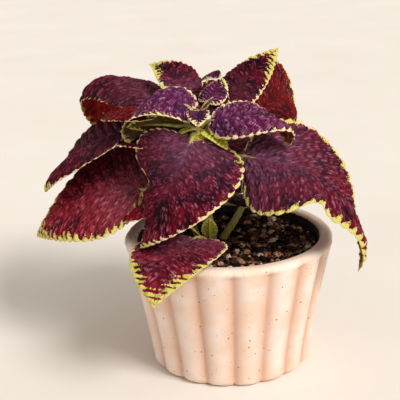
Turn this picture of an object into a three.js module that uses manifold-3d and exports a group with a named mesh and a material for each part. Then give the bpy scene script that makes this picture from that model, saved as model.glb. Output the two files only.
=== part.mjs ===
// Coleus with lime-edged burgundy leaves, growing in a fluted stoneware pot.
// Millimetres, +Z up. The origin is the centre of the pot's flat base, on the surface it stands on.
// Azimuths are in degrees, counter-clockwise seen from above: 0 is +X (right), -90 is the front.
import * as THREE from "three";
import { mergeVertices } from "three/addons/utils/BufferGeometryUtils.js";
import Module from "manifold-3d";

const wasm = await Module();
wasm.setup();

// ---------------------------------------------------------------- driving dimensions

const CLEARANCE = 0.35; // between pieces that touch on the real plant

// pot
const POT_HEIGHT = 70;
const RIM_RADIUS = 55;
const MOUTH_RADIUS = 48;
const WALL_FOOT_RADIUS = 43.5; // outside, just above the rounded foot
const WALL_FLARE = 1.2; // 1 is a straight wall, more flares out towards the rim
const WALL_RINGS = 3;
const FOOT_ROUNDING = 5;
const OUTER_LIP_ROUNDING = 3;
const INNER_LIP_ROUNDING = 2.5;
const FLOOR_HEIGHT = 8;
const FLOOR_RADIUS = 34;
const INNER_FOOT_RADIUS = 39.5;
const INNER_FOOT_HEIGHT = 13;
const FLUTES = 18;
const FLUTE_DEPTH = 2.5;
const FLUTE_SHARPNESS = 0.7; // below 1 the valleys are narrower than the ribs
const STEPS_PER_FLUTE = 4;

// soil
const SOIL_LEVEL = 64.2; // where the soil meets the pot wall
const SOIL_CROWN = 0.9; // how much higher it stands in the middle
const SOIL_ROUGHNESS = 0.4;
const SOIL_LUMP_LENGTH = 16; // from one lump to the next
const SOIL_SEGMENTS = 48;
const SOIL_RING_SHARES = [0.85, 0.65, 0.45, 0.25, 0];

// stems and leaves
const STEM_STEPS = 12;
const BLADE_THICKNESS = 0.8;
const BASE_FULLNESS = 0.52; // smaller makes the blade's base rounder
const LOBE_REACH = 2.2;
const PETIOLE_STEPS = 5;

// Each stem is a smooth curve through these points, square in section, tapering to its tip.
const STEMS = {
  main_stem: {
    points: [[-8, -3, 46], [-9, -3, 62], [-12, -3, 90], [-13.5, -1, 112], [-14, 0, 137]],
    baseRadius: 3.4,
    tipRadius: 1.6,
  },
  right_shoot: {
    points: [[-7, 3, 48], [-4, 4, 62], [7, 5, 80], [14, 11, 98], [14, 18, 116], [10, 22, 132]],
    baseRadius: 2.2,
    tipRadius: 1.3,
  },
  left_shoot: {
    points: [[-13, 3, 48], [-16, 5, 64], [-22, 9, 80], [-28, 13, 96], [-31, 16, 106]],
    baseRadius: 2.2,
    tipRadius: 1.3,
  },
};

const BURGUNDY = 0x561a2e;
const VIOLET = 0x5b2248;
const LIME = 0xa9b83a;

// What a leaf has unless its own entry says otherwise.
const USUAL_LEAF = {
  stem: "main_stem",
  petioleRadius: 1.3,
  turn: 0, // degrees the blade swings sideways from base to tip
  bendPower: 1.2, // 1 bends evenly, more bends late, near the tip
  fold: 10, // V angle of each half at the midrib
  camberLeft: 35, // degrees each half curves down from midrib to edge
  camberRight: 35,
  roll: 0, // tilt about the midrib at the base, and its change towards the tip
  twist: 0,
  lobes: 4, // how far the rounded base reaches back past the petiole
  taper: 0.8, // larger is more drawn out to the tip
  color: BURGUNDY,
  rows: 10,
  columns: 3,
};
const SMALL_LEAF = { color: VIOLET, petioleRadius: 0.8, rows: 8, columns: 2 };
const SPROUT = { color: LIME, petioleRadius: 0.8, rows: 8, columns: 2 };

// height: where the petiole leaves its stem. rise: slope of the petiole there. pitch: slope of the
// blade at its base. droop: how many degrees the blade bends down from its base to its tip.
const LEAVES = {
  crown_leaf_back: {
    ...SMALL_LEAF,
    height: 135, azimuth: 48, petiole: 6, rise: 55, pitch: 40, droop: 16, length: 18, width: 17,
    turn: 10, bendPower: 1, camberLeft: 55, camberRight: 55, roll: 10, lobes: 3,
  },
  crown_leaf_front: {
    ...SMALL_LEAF,
    height: 136, azimuth: -90, petiole: 2, rise: 35, pitch: 5, droop: 50, length: 15, width: 12,
    bendPower: 1, fold: 15,
  },
  crown_leaf_rear: {
    ...SMALL_LEAF,
    height: 129, azimuth: 77, petiole: 30, rise: 47, pitch: 31, droop: 44, length: 10, width: 16,
    turn: -60, bendPower: 1.3, fold: 1, camberLeft: 33, camberRight: 45, roll: -16, twist: -8,
    taper: 0.6, lobes: 2,
  },
  upper_leaf_left: {
    height: 136, azimuth: 186, petiole: 2, rise: 58, pitch: 49, droop: 165, length: 53, width: 30,
    turn: -67, bendPower: 1.0, fold: 0, camberLeft: 24, camberRight: 48, roll: -42, twist: 39,
    taper: 0.5, lobes: 15, petioleRadius: 1.1, color: VIOLET,
  },
  upper_leaf_right: {
    height: 129, azimuth: -37, petiole: 5, rise: 46, pitch: 14, droop: 130, length: 55, width: 29,
    turn: 87, bendPower: 2.6, camberLeft: 10, camberRight: 79, roll: 32, twist: -50,
    petioleRadius: 1.1, color: VIOLET,
  },
  front_leaf: {
    height: 123, azimuth: -113, petiole: 7, rise: 41, pitch: -31, droop: 28, length: 62, width: 67,
    turn: -51, bendPower: 0.4, camberLeft: 50, camberRight: 31, roll: -17, twist: 33, lobes: 14,
  },
  rear_leaf_right_high: {
    height: 122, azimuth: 38, petiole: 14, rise: 65, pitch: 39, droop: 18, length: 54, width: 29,
    turn: 5, camberRight: 30, roll: 10, twist: 15, taper: 1, lobes: 10,
  },
  rear_leaf_left_high: {
    height: 127, azimuth: 108, petiole: 16, rise: 56, pitch: 34, droop: 37, length: 45, width: 23,
    turn: 26, bendPower: 1.3, fold: 16, camberLeft: 13, camberRight: -8, roll: -4, twist: -20,
    taper: 1.1, lobes: 3,
  },
  right_leaf: {
    height: 109, azimuth: -20, petiole: 20, rise: 28, pitch: -2, droop: 109, length: 98, width: 75,
    turn: -4, bendPower: 1.6, fold: 8, camberLeft: -9, camberRight: 66, roll: 24, twist: -73,
    taper: 1.2, lobes: 0,
  },
  left_leaf_high: {
    height: 116, azimuth: 135, petiole: 34, rise: 41, pitch: 30, droop: 132, length: 91, width: 46,
    turn: -28, bendPower: 1.5, fold: 4, camberLeft: 101, camberRight: 11, roll: 18, twist: -6,
    taper: 0.6, lobes: 6,
  },
  left_leaf_middle: {
    stem: "left_shoot",
    height: 106, azimuth: 162, petiole: 29, rise: 78, pitch: -13, droop: 40, length: 72, width: 53,
    turn: -27, bendPower: 0.9, fold: 22, camberLeft: 73, camberRight: 9, roll: -3, twist: -13,
    taper: 0.7, lobes: 0,
  },
  left_leaf_low: {
    height: 89, azimuth: 163, petiole: 29, rise: 7, pitch: 8, droop: 63, length: 82, width: 69,
    turn: -11, bendPower: 0.9, camberLeft: 38, camberRight: 18, roll: -27, twist: 1, taper: 0.9,
    lobes: 6,
  },
  rim_leaf: {
    height: 67, azimuth: -120, petiole: 15, rise: 50, pitch: 5, droop: 68, length: 58, width: 49,
    turn: 15, bendPower: 2, camberLeft: 5, camberRight: 40, roll: -5, twist: -5, taper: 1,
    lobes: 6,
  },
  rear_leaf_right_drooping: {
    stem: "right_shoot",
    height: 120, azimuth: 48, petiole: 8, rise: 70, pitch: 55, droop: 153, length: 54, width: 43,
    turn: 15, bendPower: 1, fold: 15, camberLeft: -10, camberRight: 50, roll: 35, twist: 20,
  },
  rear_leaf_top: {
    stem: "right_shoot",
    height: 129, azimuth: 105, petiole: 6, rise: 55, pitch: 45, droop: 115, length: 46, width: 34,
  },
  rear_leaf_right_low: {
    stem: "right_shoot",
    height: 94, azimuth: 45, petiole: 20, rise: 45, pitch: 14, droop: 65, length: 48, width: 40,
  },
  rear_leaf_middle: {
    height: 104, azimuth: 90, petiole: 20, rise: 45, pitch: 25, droop: 95, length: 60, width: 46,
  },
  rear_leaf_left_low: {
    stem: "left_shoot",
    height: 88, azimuth: 115, petiole: 14, rise: 30, pitch: 10, droop: 70, length: 60, width: 44,
  },
  rear_leaf_low: {
    height: 78, azimuth: 80, petiole: 20, rise: 40, pitch: 5, droop: 60, length: 52, width: 40,
  },
  rear_leaf_small: {
    ...SMALL_LEAF,
    stem: "left_shoot",
    height: 104, azimuth: 109, petiole: 8, rise: 48, pitch: 31, droop: 35, length: 24, width: 21,
    turn: 30,
  },
  sprout_tall: {
    ...SPROUT,
    height: 69, azimuth: -98, petiole: 2, rise: 46, pitch: 75, droop: -8, length: 11, width: 9,
    turn: 14, fold: 25, lobes: 2,
  },
  sprout_short: {
    ...SPROUT,
    height: 67, azimuth: -158, petiole: 3, rise: 59, pitch: 55, droop: 16, length: 9, width: 7,
    turn: -14, fold: 20, lobes: 1,
  },
};

// ---------------------------------------------------------------- materials

const stoneware = new THREE.MeshStandardMaterial({ color: 0xe6d3c4, roughness: 0.6, metalness: 0 });
const pottingSoil = new THREE.MeshStandardMaterial({ color: 0x2e1d15, roughness: 1, metalness: 0 });

function stemMaterial() {
  return new THREE.MeshStandardMaterial({ color: 0xa5ab5c, roughness: 0.6, metalness: 0 });
}

function leafMaterial(color) {
  return new THREE.MeshStandardMaterial({ color, roughness: 0.7, metalness: 0 });
}

// ---------------------------------------------------------------- solids and meshes

const radians = THREE.MathUtils.degToRad;
const mix = THREE.MathUtils.lerp;

/** The solid inside a closed geometry, whose faces first come to share their vertices. */
function toSolid(geometry) {
  const bare = geometry.clone();
  bare.deleteAttribute("normal");
  bare.deleteAttribute("uv");
  const merged = mergeVertices(bare);
  return new wasm.Manifold(new wasm.Mesh({
    numProp: 3,
    vertProperties: new Float32Array(merged.attributes.position.array),
    triVerts: new Uint32Array(merged.index.array),
  }));
}

function toGeometry(solid) {
  const { vertProperties, triVerts } = solid.getMesh();
  const geometry = new THREE.BufferGeometry();
  geometry.setAttribute("position", new THREE.BufferAttribute(vertProperties, 3));
  geometry.setIndex(new THREE.BufferAttribute(triVerts, 1));
  geometry.computeVertexNormals();
  return geometry;
}

function namedMesh(name, geometry, material) {
  const mesh = new THREE.Mesh(geometry, material);
  mesh.name = name;
  return mesh;
}

// ---------------------------------------------------------------- pot

const innerLipZ = POT_HEIGHT - INNER_LIP_ROUNDING;
const outerLipZ = POT_HEIGHT - OUTER_LIP_ROUNDING;

/** Points of an arc in the profile plane, each with the share of the flute depth it takes. */
function profileArc(centreR, centreZ, radius, [fromDegrees, toDegrees], [fluteFrom, fluteTo], steps) {
  const points = [];
  for (let i = 0; i <= steps; i++) {
    const angle = radians(mix(fromDegrees, toDegrees, i / steps));
    points.push({
      r: centreR + radius * Math.cos(angle),
      z: centreZ + radius * Math.sin(angle),
      flute: mix(fluteFrom, fluteTo, i / steps),
    });
  }
  return points;
}

/** The fluted outer wall between the rounded foot and the lip. */
function wallRings() {
  const points = [];
  for (let i = 1; i <= WALL_RINGS; i++) {
    const share = i / (WALL_RINGS + 1);
    const r = mix(WALL_FOOT_RADIUS, RIM_RADIUS, share ** WALL_FLARE);
    points.push({ r, z: mix(FOOT_ROUNDING, outerLipZ, share), flute: 1 });
  }
  return points;
}

/** Radius of the smooth inner wall between its foot and the lip. */
function innerRadius(z) {
  return mix(INNER_FOOT_RADIUS, MOUTH_RADIUS, (z - INNER_FOOT_HEIGHT) / (innerLipZ - INNER_FOOT_HEIGHT));
}

/** How far the wall is drawn in at an angle: narrow valleys between broad rounded ribs. */
function fluteInset(angle) {
  const place = (angle * FLUTES) / (2 * Math.PI);
  const fromValley = Math.abs(place - Math.round(place)) * 2;
  return FLUTE_DEPTH * (1 - Math.sin((fromValley * Math.PI) / 2) ** FLUTE_SHARPNESS);
}

/** A profile turned about the Y axis, as three.js lathes it. */
function lathed(profile, segments) {
  return new THREE.LatheGeometry(profile.map(({ r, z }) => new THREE.Vector2(r, z)), segments);
}

function buildPot() {
  const footCentre = WALL_FOOT_RADIUS - FOOT_ROUNDING;
  const outerLipCentre = RIM_RADIUS - OUTER_LIP_ROUNDING;
  const innerLipCentre = MOUTH_RADIUS + INNER_LIP_ROUNDING;
  const profile = [
    { r: 0, z: 0, flute: 0 },
    ...profileArc(footCentre, FOOT_ROUNDING, FOOT_ROUNDING, [-90, 0], [0.5, 1], 3),
    ...wallRings(),
    ...profileArc(outerLipCentre, outerLipZ, OUTER_LIP_ROUNDING, [0, 90], [1, 0.4], 3),
    ...profileArc(innerLipCentre, innerLipZ, INNER_LIP_ROUNDING, [90, 180], [0.2, 0], 2),
    { r: INNER_FOOT_RADIUS, z: INNER_FOOT_HEIGHT, flute: 0 },
    { r: FLOOR_RADIUS, z: FLOOR_HEIGHT, flute: 0 },
    { r: 0, z: FLOOR_HEIGHT, flute: 0 },
  ];
  const segments = FLUTES * STEPS_PER_FLUTE;
  const geometry = lathed(profile, segments);
  const position = geometry.attributes.position;
  for (let i = 0; i < position.count; i++) {
    const point = profile[i % profile.length];
    const angle = (Math.floor(i / profile.length) * 2 * Math.PI) / segments;
    const r = point.r - point.flute * fluteInset(angle);
    position.setXYZ(i, r * Math.sin(angle), point.z, r * Math.cos(angle));
  }
  geometry.rotateX(Math.PI / 2);
  return toGeometry(toSolid(geometry));
}

// ---------------------------------------------------------------- stems

/** A regular polygon about the origin, with its first corner at an angle. */
function polygon(sides, radius, firstAngle = 0) {
  const shape = new THREE.Shape();
  for (let i = 0; i < sides; i++) {
    const angle = firstAngle + (2 * Math.PI * i) / sides;
    const corner = [radius * Math.cos(angle), radius * Math.sin(angle)];
    if (i === 0) shape.moveTo(...corner);
    else shape.lineTo(...corner);
  }
  return shape;
}

/** The curve of a stem, with its radius at any height and the places its petioles leave from. */
class Stem {
  constructor({ points, baseRadius, tipRadius }) {
    const corners = points.map((point) => new THREE.Vector3(...point));
    this.curve = new THREE.CatmullRomCurve3(corners, false, "catmullrom");
    this.baseRadius = baseRadius;
    this.tipRadius = tipRadius;
    this.bottom = corners[0].z;
    this.top = corners[corners.length - 1].z;
  }

  radiusAt(z) {
    return mix(this.baseRadius, this.tipRadius, (z - this.bottom) / (this.top - this.bottom));
  }

  /** Where along the curve, from 0 to 1, it reaches a height. */
  shareAt(z) {
    let low = 0;
    let high = 1;
    while (high - low > 1e-6) {
      const middle = (low + high) / 2;
      if (this.curve.getPoint(middle).z < z) low = middle;
      else high = middle;
    }
    return low;
  }

  /** Where a petiole of a given heading and radius ends, just clear of the stem's skin. */
  nodeAt(z, direction, petioleRadius) {
    const share = this.shareAt(z);
    const outward = direction.clone().projectOnPlane(this.curve.getTangent(share)).normalize();
    const capTilt = Math.sqrt(1 - outward.dot(direction) ** 2);
    const reach = this.radiusAt(z) + CLEARANCE + petioleRadius * capTilt;
    return this.curve.getPoint(share).addScaledVector(outward, reach);
  }

  /** A closed tube of eight sides, wider all round by an extra radius. */
  geometry(extra = 0) {
    const outline = polygon(8, 1, Math.PI / 8);
    const tube = new THREE.ExtrudeGeometry(outline, { steps: STEM_STEPS, extrudePath: this.curve });
    const centres = this.curve.getSpacedPoints(STEM_STEPS);
    const position = tube.attributes.position;
    const vertex = new THREE.Vector3();
    const nearer = (a, b) => (a.distanceTo(vertex) < b.distanceTo(vertex) ? a : b);
    for (let i = 0; i < position.count; i++) {
      vertex.fromBufferAttribute(position, i);
      const centre = centres.reduce(nearer);
      vertex.sub(centre).multiplyScalar(this.radiusAt(centre.z) + extra).add(centre);
      position.setXYZ(i, ...vertex);
    }
    return tube;
  }
}

// ---------------------------------------------------------------- soil

/** The soil that fills the pot: slightly mounded and lumpy, with a socket for each stem. */
function buildSoil(stems) {
  const wall = (z) => innerRadius(z) - CLEARANCE;
  const floor = FLOOR_HEIGHT + CLEARANCE;
  const shoulder = INNER_FOOT_HEIGHT + CLEARANCE;
  const profile = [
    { r: 0, z: floor },
    { r: FLOOR_RADIUS - CLEARANCE, z: floor },
    { r: wall(shoulder), z: shoulder },
    { r: wall(SOIL_LEVEL), z: SOIL_LEVEL },
  ];
  for (const share of SOIL_RING_SHARES) {
    profile.push({ r: wall(SOIL_LEVEL) * share, z: SOIL_LEVEL + SOIL_CROWN * (1 - share ** 2) });
  }
  const geometry = lathed(profile, SOIL_SEGMENTS);
  geometry.rotateX(Math.PI / 2);
  const position = geometry.attributes.position;
  const turns = (2 * Math.PI) / SOIL_LUMP_LENGTH;
  for (let i = 0; i < position.count; i++) {
    const z = position.getZ(i);
    if (z <= SOIL_LEVEL) continue;
    const lump = Math.sin(turns * position.getX(i)) * Math.cos(turns * position.getY(i));
    position.setZ(i, z + SOIL_ROUGHNESS * lump);
  }
  let soil = toSolid(geometry);
  for (const stem of stems) {
    const socket = toSolid(stem.geometry(CLEARANCE));
    soil = soil.subtract(socket).subtract(socket.translate([0, 0, -CLEARANCE]));
  }
  return toGeometry(soil);
}

// ---------------------------------------------------------------- leaves

function heading(azimuth, elevation) {
  return new THREE.Vector3(1, 0, 0)
    .applyAxisAngle(new THREE.Vector3(0, -1, 0), radians(elevation))
    .applyAxisAngle(new THREE.Vector3(0, 0, 1), radians(azimuth));
}

/** A curve of a given length whose heading turns from one direction to another. */
function turningCurve(start, length, azimuths, elevations, power = 1) {
  const steps = 60;
  const points = [start];
  for (let i = 0; i < steps; i++) {
    const share = (i + 0.5) / steps;
    const direction = heading(mix(...azimuths, share), mix(...elevations, share ** power));
    points.push(points[i].clone().addScaledVector(direction, length / steps));
  }
  return (share) => {
    const index = Math.min(Math.floor(share * steps), steps - 1);
    return points[index].clone().lerp(points[index + 1], share * steps - index);
  };
}

/** Half width of a blade along its length, as a share of the widest: rounded base, drawn-out tip. */
function outline(share, taper) {
  const shape = (place) => place ** BASE_FULLNESS * (1 - place) ** taper;
  return shape(share) / shape(BASE_FULLNESS / (BASE_FULLNESS + taper));
}

/** A row of points with normals across a blade, at a share of its length from base to tip. */
function bladeRow(leaf, midpoint, share) {
  const azimuth = leaf.turn * share;
  const along = heading(azimuth, leaf.pitch - leaf.droop * share ** leaf.bendPower);
  const roll = radians(leaf.roll + leaf.twist * share);
  const side = heading(azimuth + 90, 0).applyAxisAngle(along, roll);
  const up = along.clone().cross(side);
  const half = (leaf.width / 2) * outline(share, leaf.taper);
  const fold = radians(leaf.fold);
  const row = [];
  for (let j = -leaf.columns; j <= leaf.columns; j++) {
    const reach = Math.abs(j) / leaf.columns;
    const sign = Math.sign(j);
    const camber = radians(j > 0 ? leaf.camberLeft : leaf.camberRight) || 1e-3;
    const slope = fold - camber * reach;
    const out = (half * (Math.sin(fold) - Math.sin(slope))) / camber;
    const lift = (half * (Math.cos(slope) - Math.cos(fold))) / camber;
    const back = LOBE_REACH * leaf.lobes * (1 - share) ** 2 * Math.sqrt(share) * reach ** 1.5;
    const point = midpoint.clone()
      .addScaledVector(side, sign * out)
      .addScaledVector(up, lift)
      .addScaledVector(along, -back);
    row.push({ point, normal: up.clone().applyAxisAngle(along, sign * slope) });
  }
  return row;
}

/** A closed plate around a grid of rows whose first and last are drawn together to a point. */
function plate(grid, thickness) {
  const lastRow = grid.length - 1;
  const lastColumn = grid[0].length - 1;
  const positions = [];
  const triangles = [];
  const numbers = new Map();
  const vertex = (level, i, j) => {
    const column = i === 0 || i === lastRow ? lastColumn / 2 : j;
    const key = `${level},${i},${column}`;
    if (!numbers.has(key)) {
      const { point, normal } = grid[i][column];
      numbers.set(key, numbers.size);
      positions.push(...point.clone().addScaledVector(normal, (level * thickness) / 2));
    }
    return numbers.get(key);
  };
  const quad = (a, b, c, d) => {
    for (const corners of [[a, b, c], [a, c, d]]) {
      if (new Set(corners).size === 3) triangles.push(...corners);
    }
  };
  for (let i = 0; i < lastRow; i++) {
    const k = i + 1;
    for (let j = 0; j < lastColumn; j++) {
      quad(vertex(1, i, j), vertex(1, k, j), vertex(1, k, j + 1), vertex(1, i, j + 1));
      quad(vertex(-1, i, j + 1), vertex(-1, k, j + 1), vertex(-1, k, j), vertex(-1, i, j));
    }
    quad(vertex(1, i, 0), vertex(-1, i, 0), vertex(-1, k, 0), vertex(1, k, 0));
    const j = lastColumn;
    quad(vertex(1, k, j), vertex(-1, k, j), vertex(-1, i, j), vertex(1, i, j));
  }
  const geometry = new THREE.BufferGeometry();
  geometry.setAttribute("position", new THREE.Float32BufferAttribute(positions, 3));
  geometry.setIndex(triangles);
  return geometry;
}

/** A petiole and blade in one solid, leaving its stem at the origin towards +X. */
function buildLeaf(leaf) {
  const petiole = turningCurve(new THREE.Vector3(), leaf.petiole, [0, 0], [leaf.rise, leaf.pitch]);
  const slopes = [leaf.pitch, leaf.pitch - leaf.droop];
  const midrib = turningCurve(petiole(1), leaf.length, [0, leaf.turn], slopes, leaf.bendPower);
  const grid = [];
  for (let i = 0; i <= leaf.rows; i++) {
    const even = i / leaf.rows;
    const share = (even + (1 - Math.cos(Math.PI * even)) / 2) / 2; // rows closer at base and tip
    grid.push(bladeRow(leaf, midrib(share), share));
  }
  const route = [petiole(0), petiole(0.25), petiole(0.5), petiole(0.75), petiole(1), midrib(0.06)];
  const extrudePath = new THREE.CatmullRomCurve3(route);
  const section = polygon(6, leaf.petioleRadius);
  const stalk = new THREE.ExtrudeGeometry(section, { steps: PETIOLE_STEPS, extrudePath });
  return toGeometry(toSolid(plate(grid, BLADE_THICKNESS)).add(toSolid(stalk)));
}

// ---------------------------------------------------------------- assembly

const shoots = new Map();
for (const [name, dimensions] of Object.entries(STEMS)) {
  const stem = new Stem(dimensions);
  const group = new THREE.Group();
  group.add(namedMesh(name, toGeometry(toSolid(stem.geometry())), stemMaterial()));
  shoots.set(name, { stem, group });
}

for (const [name, entry] of Object.entries(LEAVES)) {
  const leaf = { ...USUAL_LEAF, ...entry };
  const { stem, group } = shoots.get(leaf.stem);
  const mesh = namedMesh(name, buildLeaf(leaf), leafMaterial(leaf.color));
  mesh.position.copy(stem.nodeAt(leaf.height, heading(leaf.azimuth, leaf.rise), leaf.petioleRadius));
  mesh.rotation.z = radians(leaf.azimuth);
  group.add(mesh);
}

const stems = [...shoots.values()].map(({ stem }) => stem);
const coleus = new THREE.Group();
coleus.add(namedMesh("pot", buildPot(), stoneware));
coleus.add(namedMesh("soil", buildSoil(stems), pottingSoil));
for (const { group } of shoots.values()) coleus.add(group);

export default coleus;
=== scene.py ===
"""A coleus with lime-edged burgundy leaves in a fluted stoneware pot of potting compost.

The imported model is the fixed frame. Every solid of it gets a detailed piece that stands where the solid
stands: the thrown pot, the lumpy compost, the square stems and one quilted leaf for each leaf. Crumbs,
fibres and perlite lie on the compost, and buds, young leaves in the axils and shaded leaves fill the
plant. The scene's frame is the model's: the origin is the centre of the pot's flat base, Z is up and the
front looks along -Y. Lengths here are millimetres, turned into metres where a mesh is made, and azimuths
are degrees counter-clockwise from above, with 0 to the right.
"""

import logging
import math
from dataclasses import dataclass, field, replace
from enum import Enum
from typing import Iterable

import bmesh
import bpy
import numpy as np
from mathutils import Matrix, Vector


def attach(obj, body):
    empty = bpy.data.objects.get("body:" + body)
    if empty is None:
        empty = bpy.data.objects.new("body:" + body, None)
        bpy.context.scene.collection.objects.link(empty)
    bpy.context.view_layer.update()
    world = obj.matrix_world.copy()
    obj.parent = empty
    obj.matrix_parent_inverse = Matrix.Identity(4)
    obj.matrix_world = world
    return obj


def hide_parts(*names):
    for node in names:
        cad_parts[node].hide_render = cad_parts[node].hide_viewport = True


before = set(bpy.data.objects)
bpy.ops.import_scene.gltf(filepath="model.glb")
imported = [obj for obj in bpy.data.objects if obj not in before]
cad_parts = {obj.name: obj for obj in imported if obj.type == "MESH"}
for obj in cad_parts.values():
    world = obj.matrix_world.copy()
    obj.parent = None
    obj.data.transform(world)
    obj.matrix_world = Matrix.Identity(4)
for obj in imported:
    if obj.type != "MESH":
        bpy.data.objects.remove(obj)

log = logging.getLogger("coleus")

Array = np.ndarray
Colour = tuple[float, float, float, float]
Socket = bpy.types.NodeSocket
Point = tuple[float, float, float]

MM = 0.001
BODY = "root"
LATTICE = 64


# ---------------------------------------------------------------- numbers


def screen(red: int, green: int, blue: int) -> Colour:
    """Turns a colour as seen on a screen into the linear one that a shader takes.

    Args:
        red: Red from 0 to 255.
        green: Green from 0 to 255.
        blue: Blue from 0 to 255.

    Returns:
        The linear colour with full alpha.
    """
    channels = [value / 255 for value in (red, green, blue)]
    low, high = 0.04045, 2.4
    linear = [c / 12.92 if c <= low else ((c + 0.055) / 1.055) ** high for c in channels]
    return (linear[0], linear[1], linear[2], 1.0)


def ease(low: float, high: float, value: Array) -> Array:
    """A smooth step from 0 at low to 1 at high."""
    share = np.clip((value - low) / (high - low), 0.0, 1.0)
    return share * share * (3 - 2 * share)


def hump(distance: Array, reach: float) -> Array:
    """A bell that is 1 at no distance and fades over a reach."""
    return np.exp(-((distance / reach) ** 2))


def heading(azimuth: Array | float, elevation: Array | float) -> Array:
    """Turns headings into unit vectors.

    Args:
        azimuth: Azimuths in degrees.
        elevation: Elevations in degrees.

    Returns:
        The vectors.
    """
    turn, slope = np.radians(azimuth), np.radians(elevation)
    flat = np.cos(slope)
    return np.stack([flat * np.cos(turn), flat * np.sin(turn), np.sin(slope)], -1)


def unit(vectors: Array) -> Array:
    """Vectors scaled to a length of 1."""
    return vectors / np.linalg.norm(vectors, axis=-1, keepdims=True)


def round_angles(sides: int) -> Array:
    """Evenly spaced angles round a full turn, in radians."""
    return np.linspace(0, 2 * math.pi, sides, endpoint=False)


def turned(reach: Array | float, angle: Array, z: Array | float) -> Array:
    """Points at a reach from the Z axis, an angle round it and a height."""
    return np.stack(np.broadcast_arrays(reach * np.cos(angle), reach * np.sin(angle), z), -1)


def tilted(level: Array, along: Array, tilt: Array) -> Array:
    """Level side directions of a curve, tilted about its direction by angles in radians."""
    return level * np.cos(tilt) + np.cross(along, level) * np.sin(tilt)


def spokes(side: Array, up: Array, angle: Array) -> Array:
    """Vectors round each place of a curve, at angles from its side direction towards up."""
    return side[:, None] * np.cos(angle)[:, None] + up[:, None] * np.sin(angle)[:, None]


class Ripple:
    """Smooth seeded noise over a plane."""

    def __init__(self, seed: int) -> None:
        """Draws the lattice that the noise runs through."""
        self.lattice = np.random.default_rng(seed).uniform(-1.0, 1.0, (LATTICE, LATTICE))

    def at(self, u: Array, v: Array) -> Array:
        """Reads the noise.

        Args:
            u: First coordinate, in lattice steps.
            v: Second coordinate, in lattice steps.

        Returns:
            Values from -1 to 1.
        """
        column, row = np.floor(u).astype(int), np.floor(v).astype(int)
        across, down = ease(0, 1, u - column), ease(0, 1, v - row)

        def corner(right: int, below: int) -> Array:
            """The lattice value at one corner of each place's square."""
            return self.lattice[(column + right) % LATTICE, (row + below) % LATTICE]

        near = corner(0, 0) * (1 - across) + corner(1, 0) * across
        far = corner(0, 1) * (1 - across) + corner(1, 1) * across
        return near * (1 - down) + far * down

    def layered(self, u: Array, v: Array, layers: int = 3) -> Array:
        """Reads noise with finer, weaker layers on top of the first.

        Args:
            u: First coordinate, in lattice steps.
            v: Second coordinate, in lattice steps.
            layers: How many layers there are.

        Returns:
            Values around 0.
        """
        total = np.zeros(np.broadcast(u, v).shape)
        for layer in range(layers):
            scale = 2.0**layer
            total = total + self.at(u * scale + 7.3 * layer, v * scale - 3.1 * layer) / scale
        return total


class Blisters:
    """Irregular staggered cells over a plane, as on quilted leaves and lumpy ground."""

    def __init__(self, seed: int, jitter: float) -> None:
        """Moves each cell's middle at random by up to half of jitter."""
        rng = np.random.default_rng(seed)
        self.shift = rng.uniform(-0.5, 0.5, (LATTICE, LATTICE, 2)) * jitter

    def domes(self, u: Array, v: Array) -> Array:
        """Measures how far each place is from the borders of its cell.

        Args:
            u: First coordinate, in cells.
            v: Second coordinate, in cells.

        Returns:
            0 on a border and up to about 1 in the middle of a cell.
        """
        nearest = np.full(np.broadcast(u, v).shape, 9.0)
        second = nearest.copy()
        for right in (-1, 0, 1):
            column = np.floor(u).astype(int) + right
            stagger = 0.5 * (column % 2)
            for below in (-1, 0, 1):
                row = np.floor(v - stagger).astype(int) + below
                shift = self.shift[column % LATTICE, row % LATTICE]
                middle_u = column + 0.5 + shift[..., 0]
                middle_v = row + 0.5 + stagger + shift[..., 1]
                distance = np.hypot(u - middle_u, v - middle_v)
                second = np.minimum(second, np.maximum(nearest, distance))
                nearest = np.minimum(nearest, distance)
        return second - nearest


# ---------------------------------------------------------------- meshes


def grid_faces(index: Array) -> Array:
    """Quads between the neighbours of a grid of point numbers, facing first axis x second axis."""
    corners = (index[:-1, :-1], index[1:, :-1], index[1:, 1:], index[:-1, 1:])
    return np.stack([corner.ravel() for corner in corners], -1)


def ring_numbers(rings: int, sides: int, poles: bool = False) -> Array:
    """Numbers the points of a row of rings.

    Args:
        rings: How many rings there are.
        sides: How many points a ring has.
        poles: Whether the first and the last ring are drawn together into one point each.

    Returns:
        One row for a ring, with its first number again at the end.
    """
    index = np.arange(rings * sides).reshape(rings, sides)
    if poles:
        index[[0, -1]] = index[[0, -1], :1]
    return np.concatenate([index, index[:, :1]], axis=1)


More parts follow.
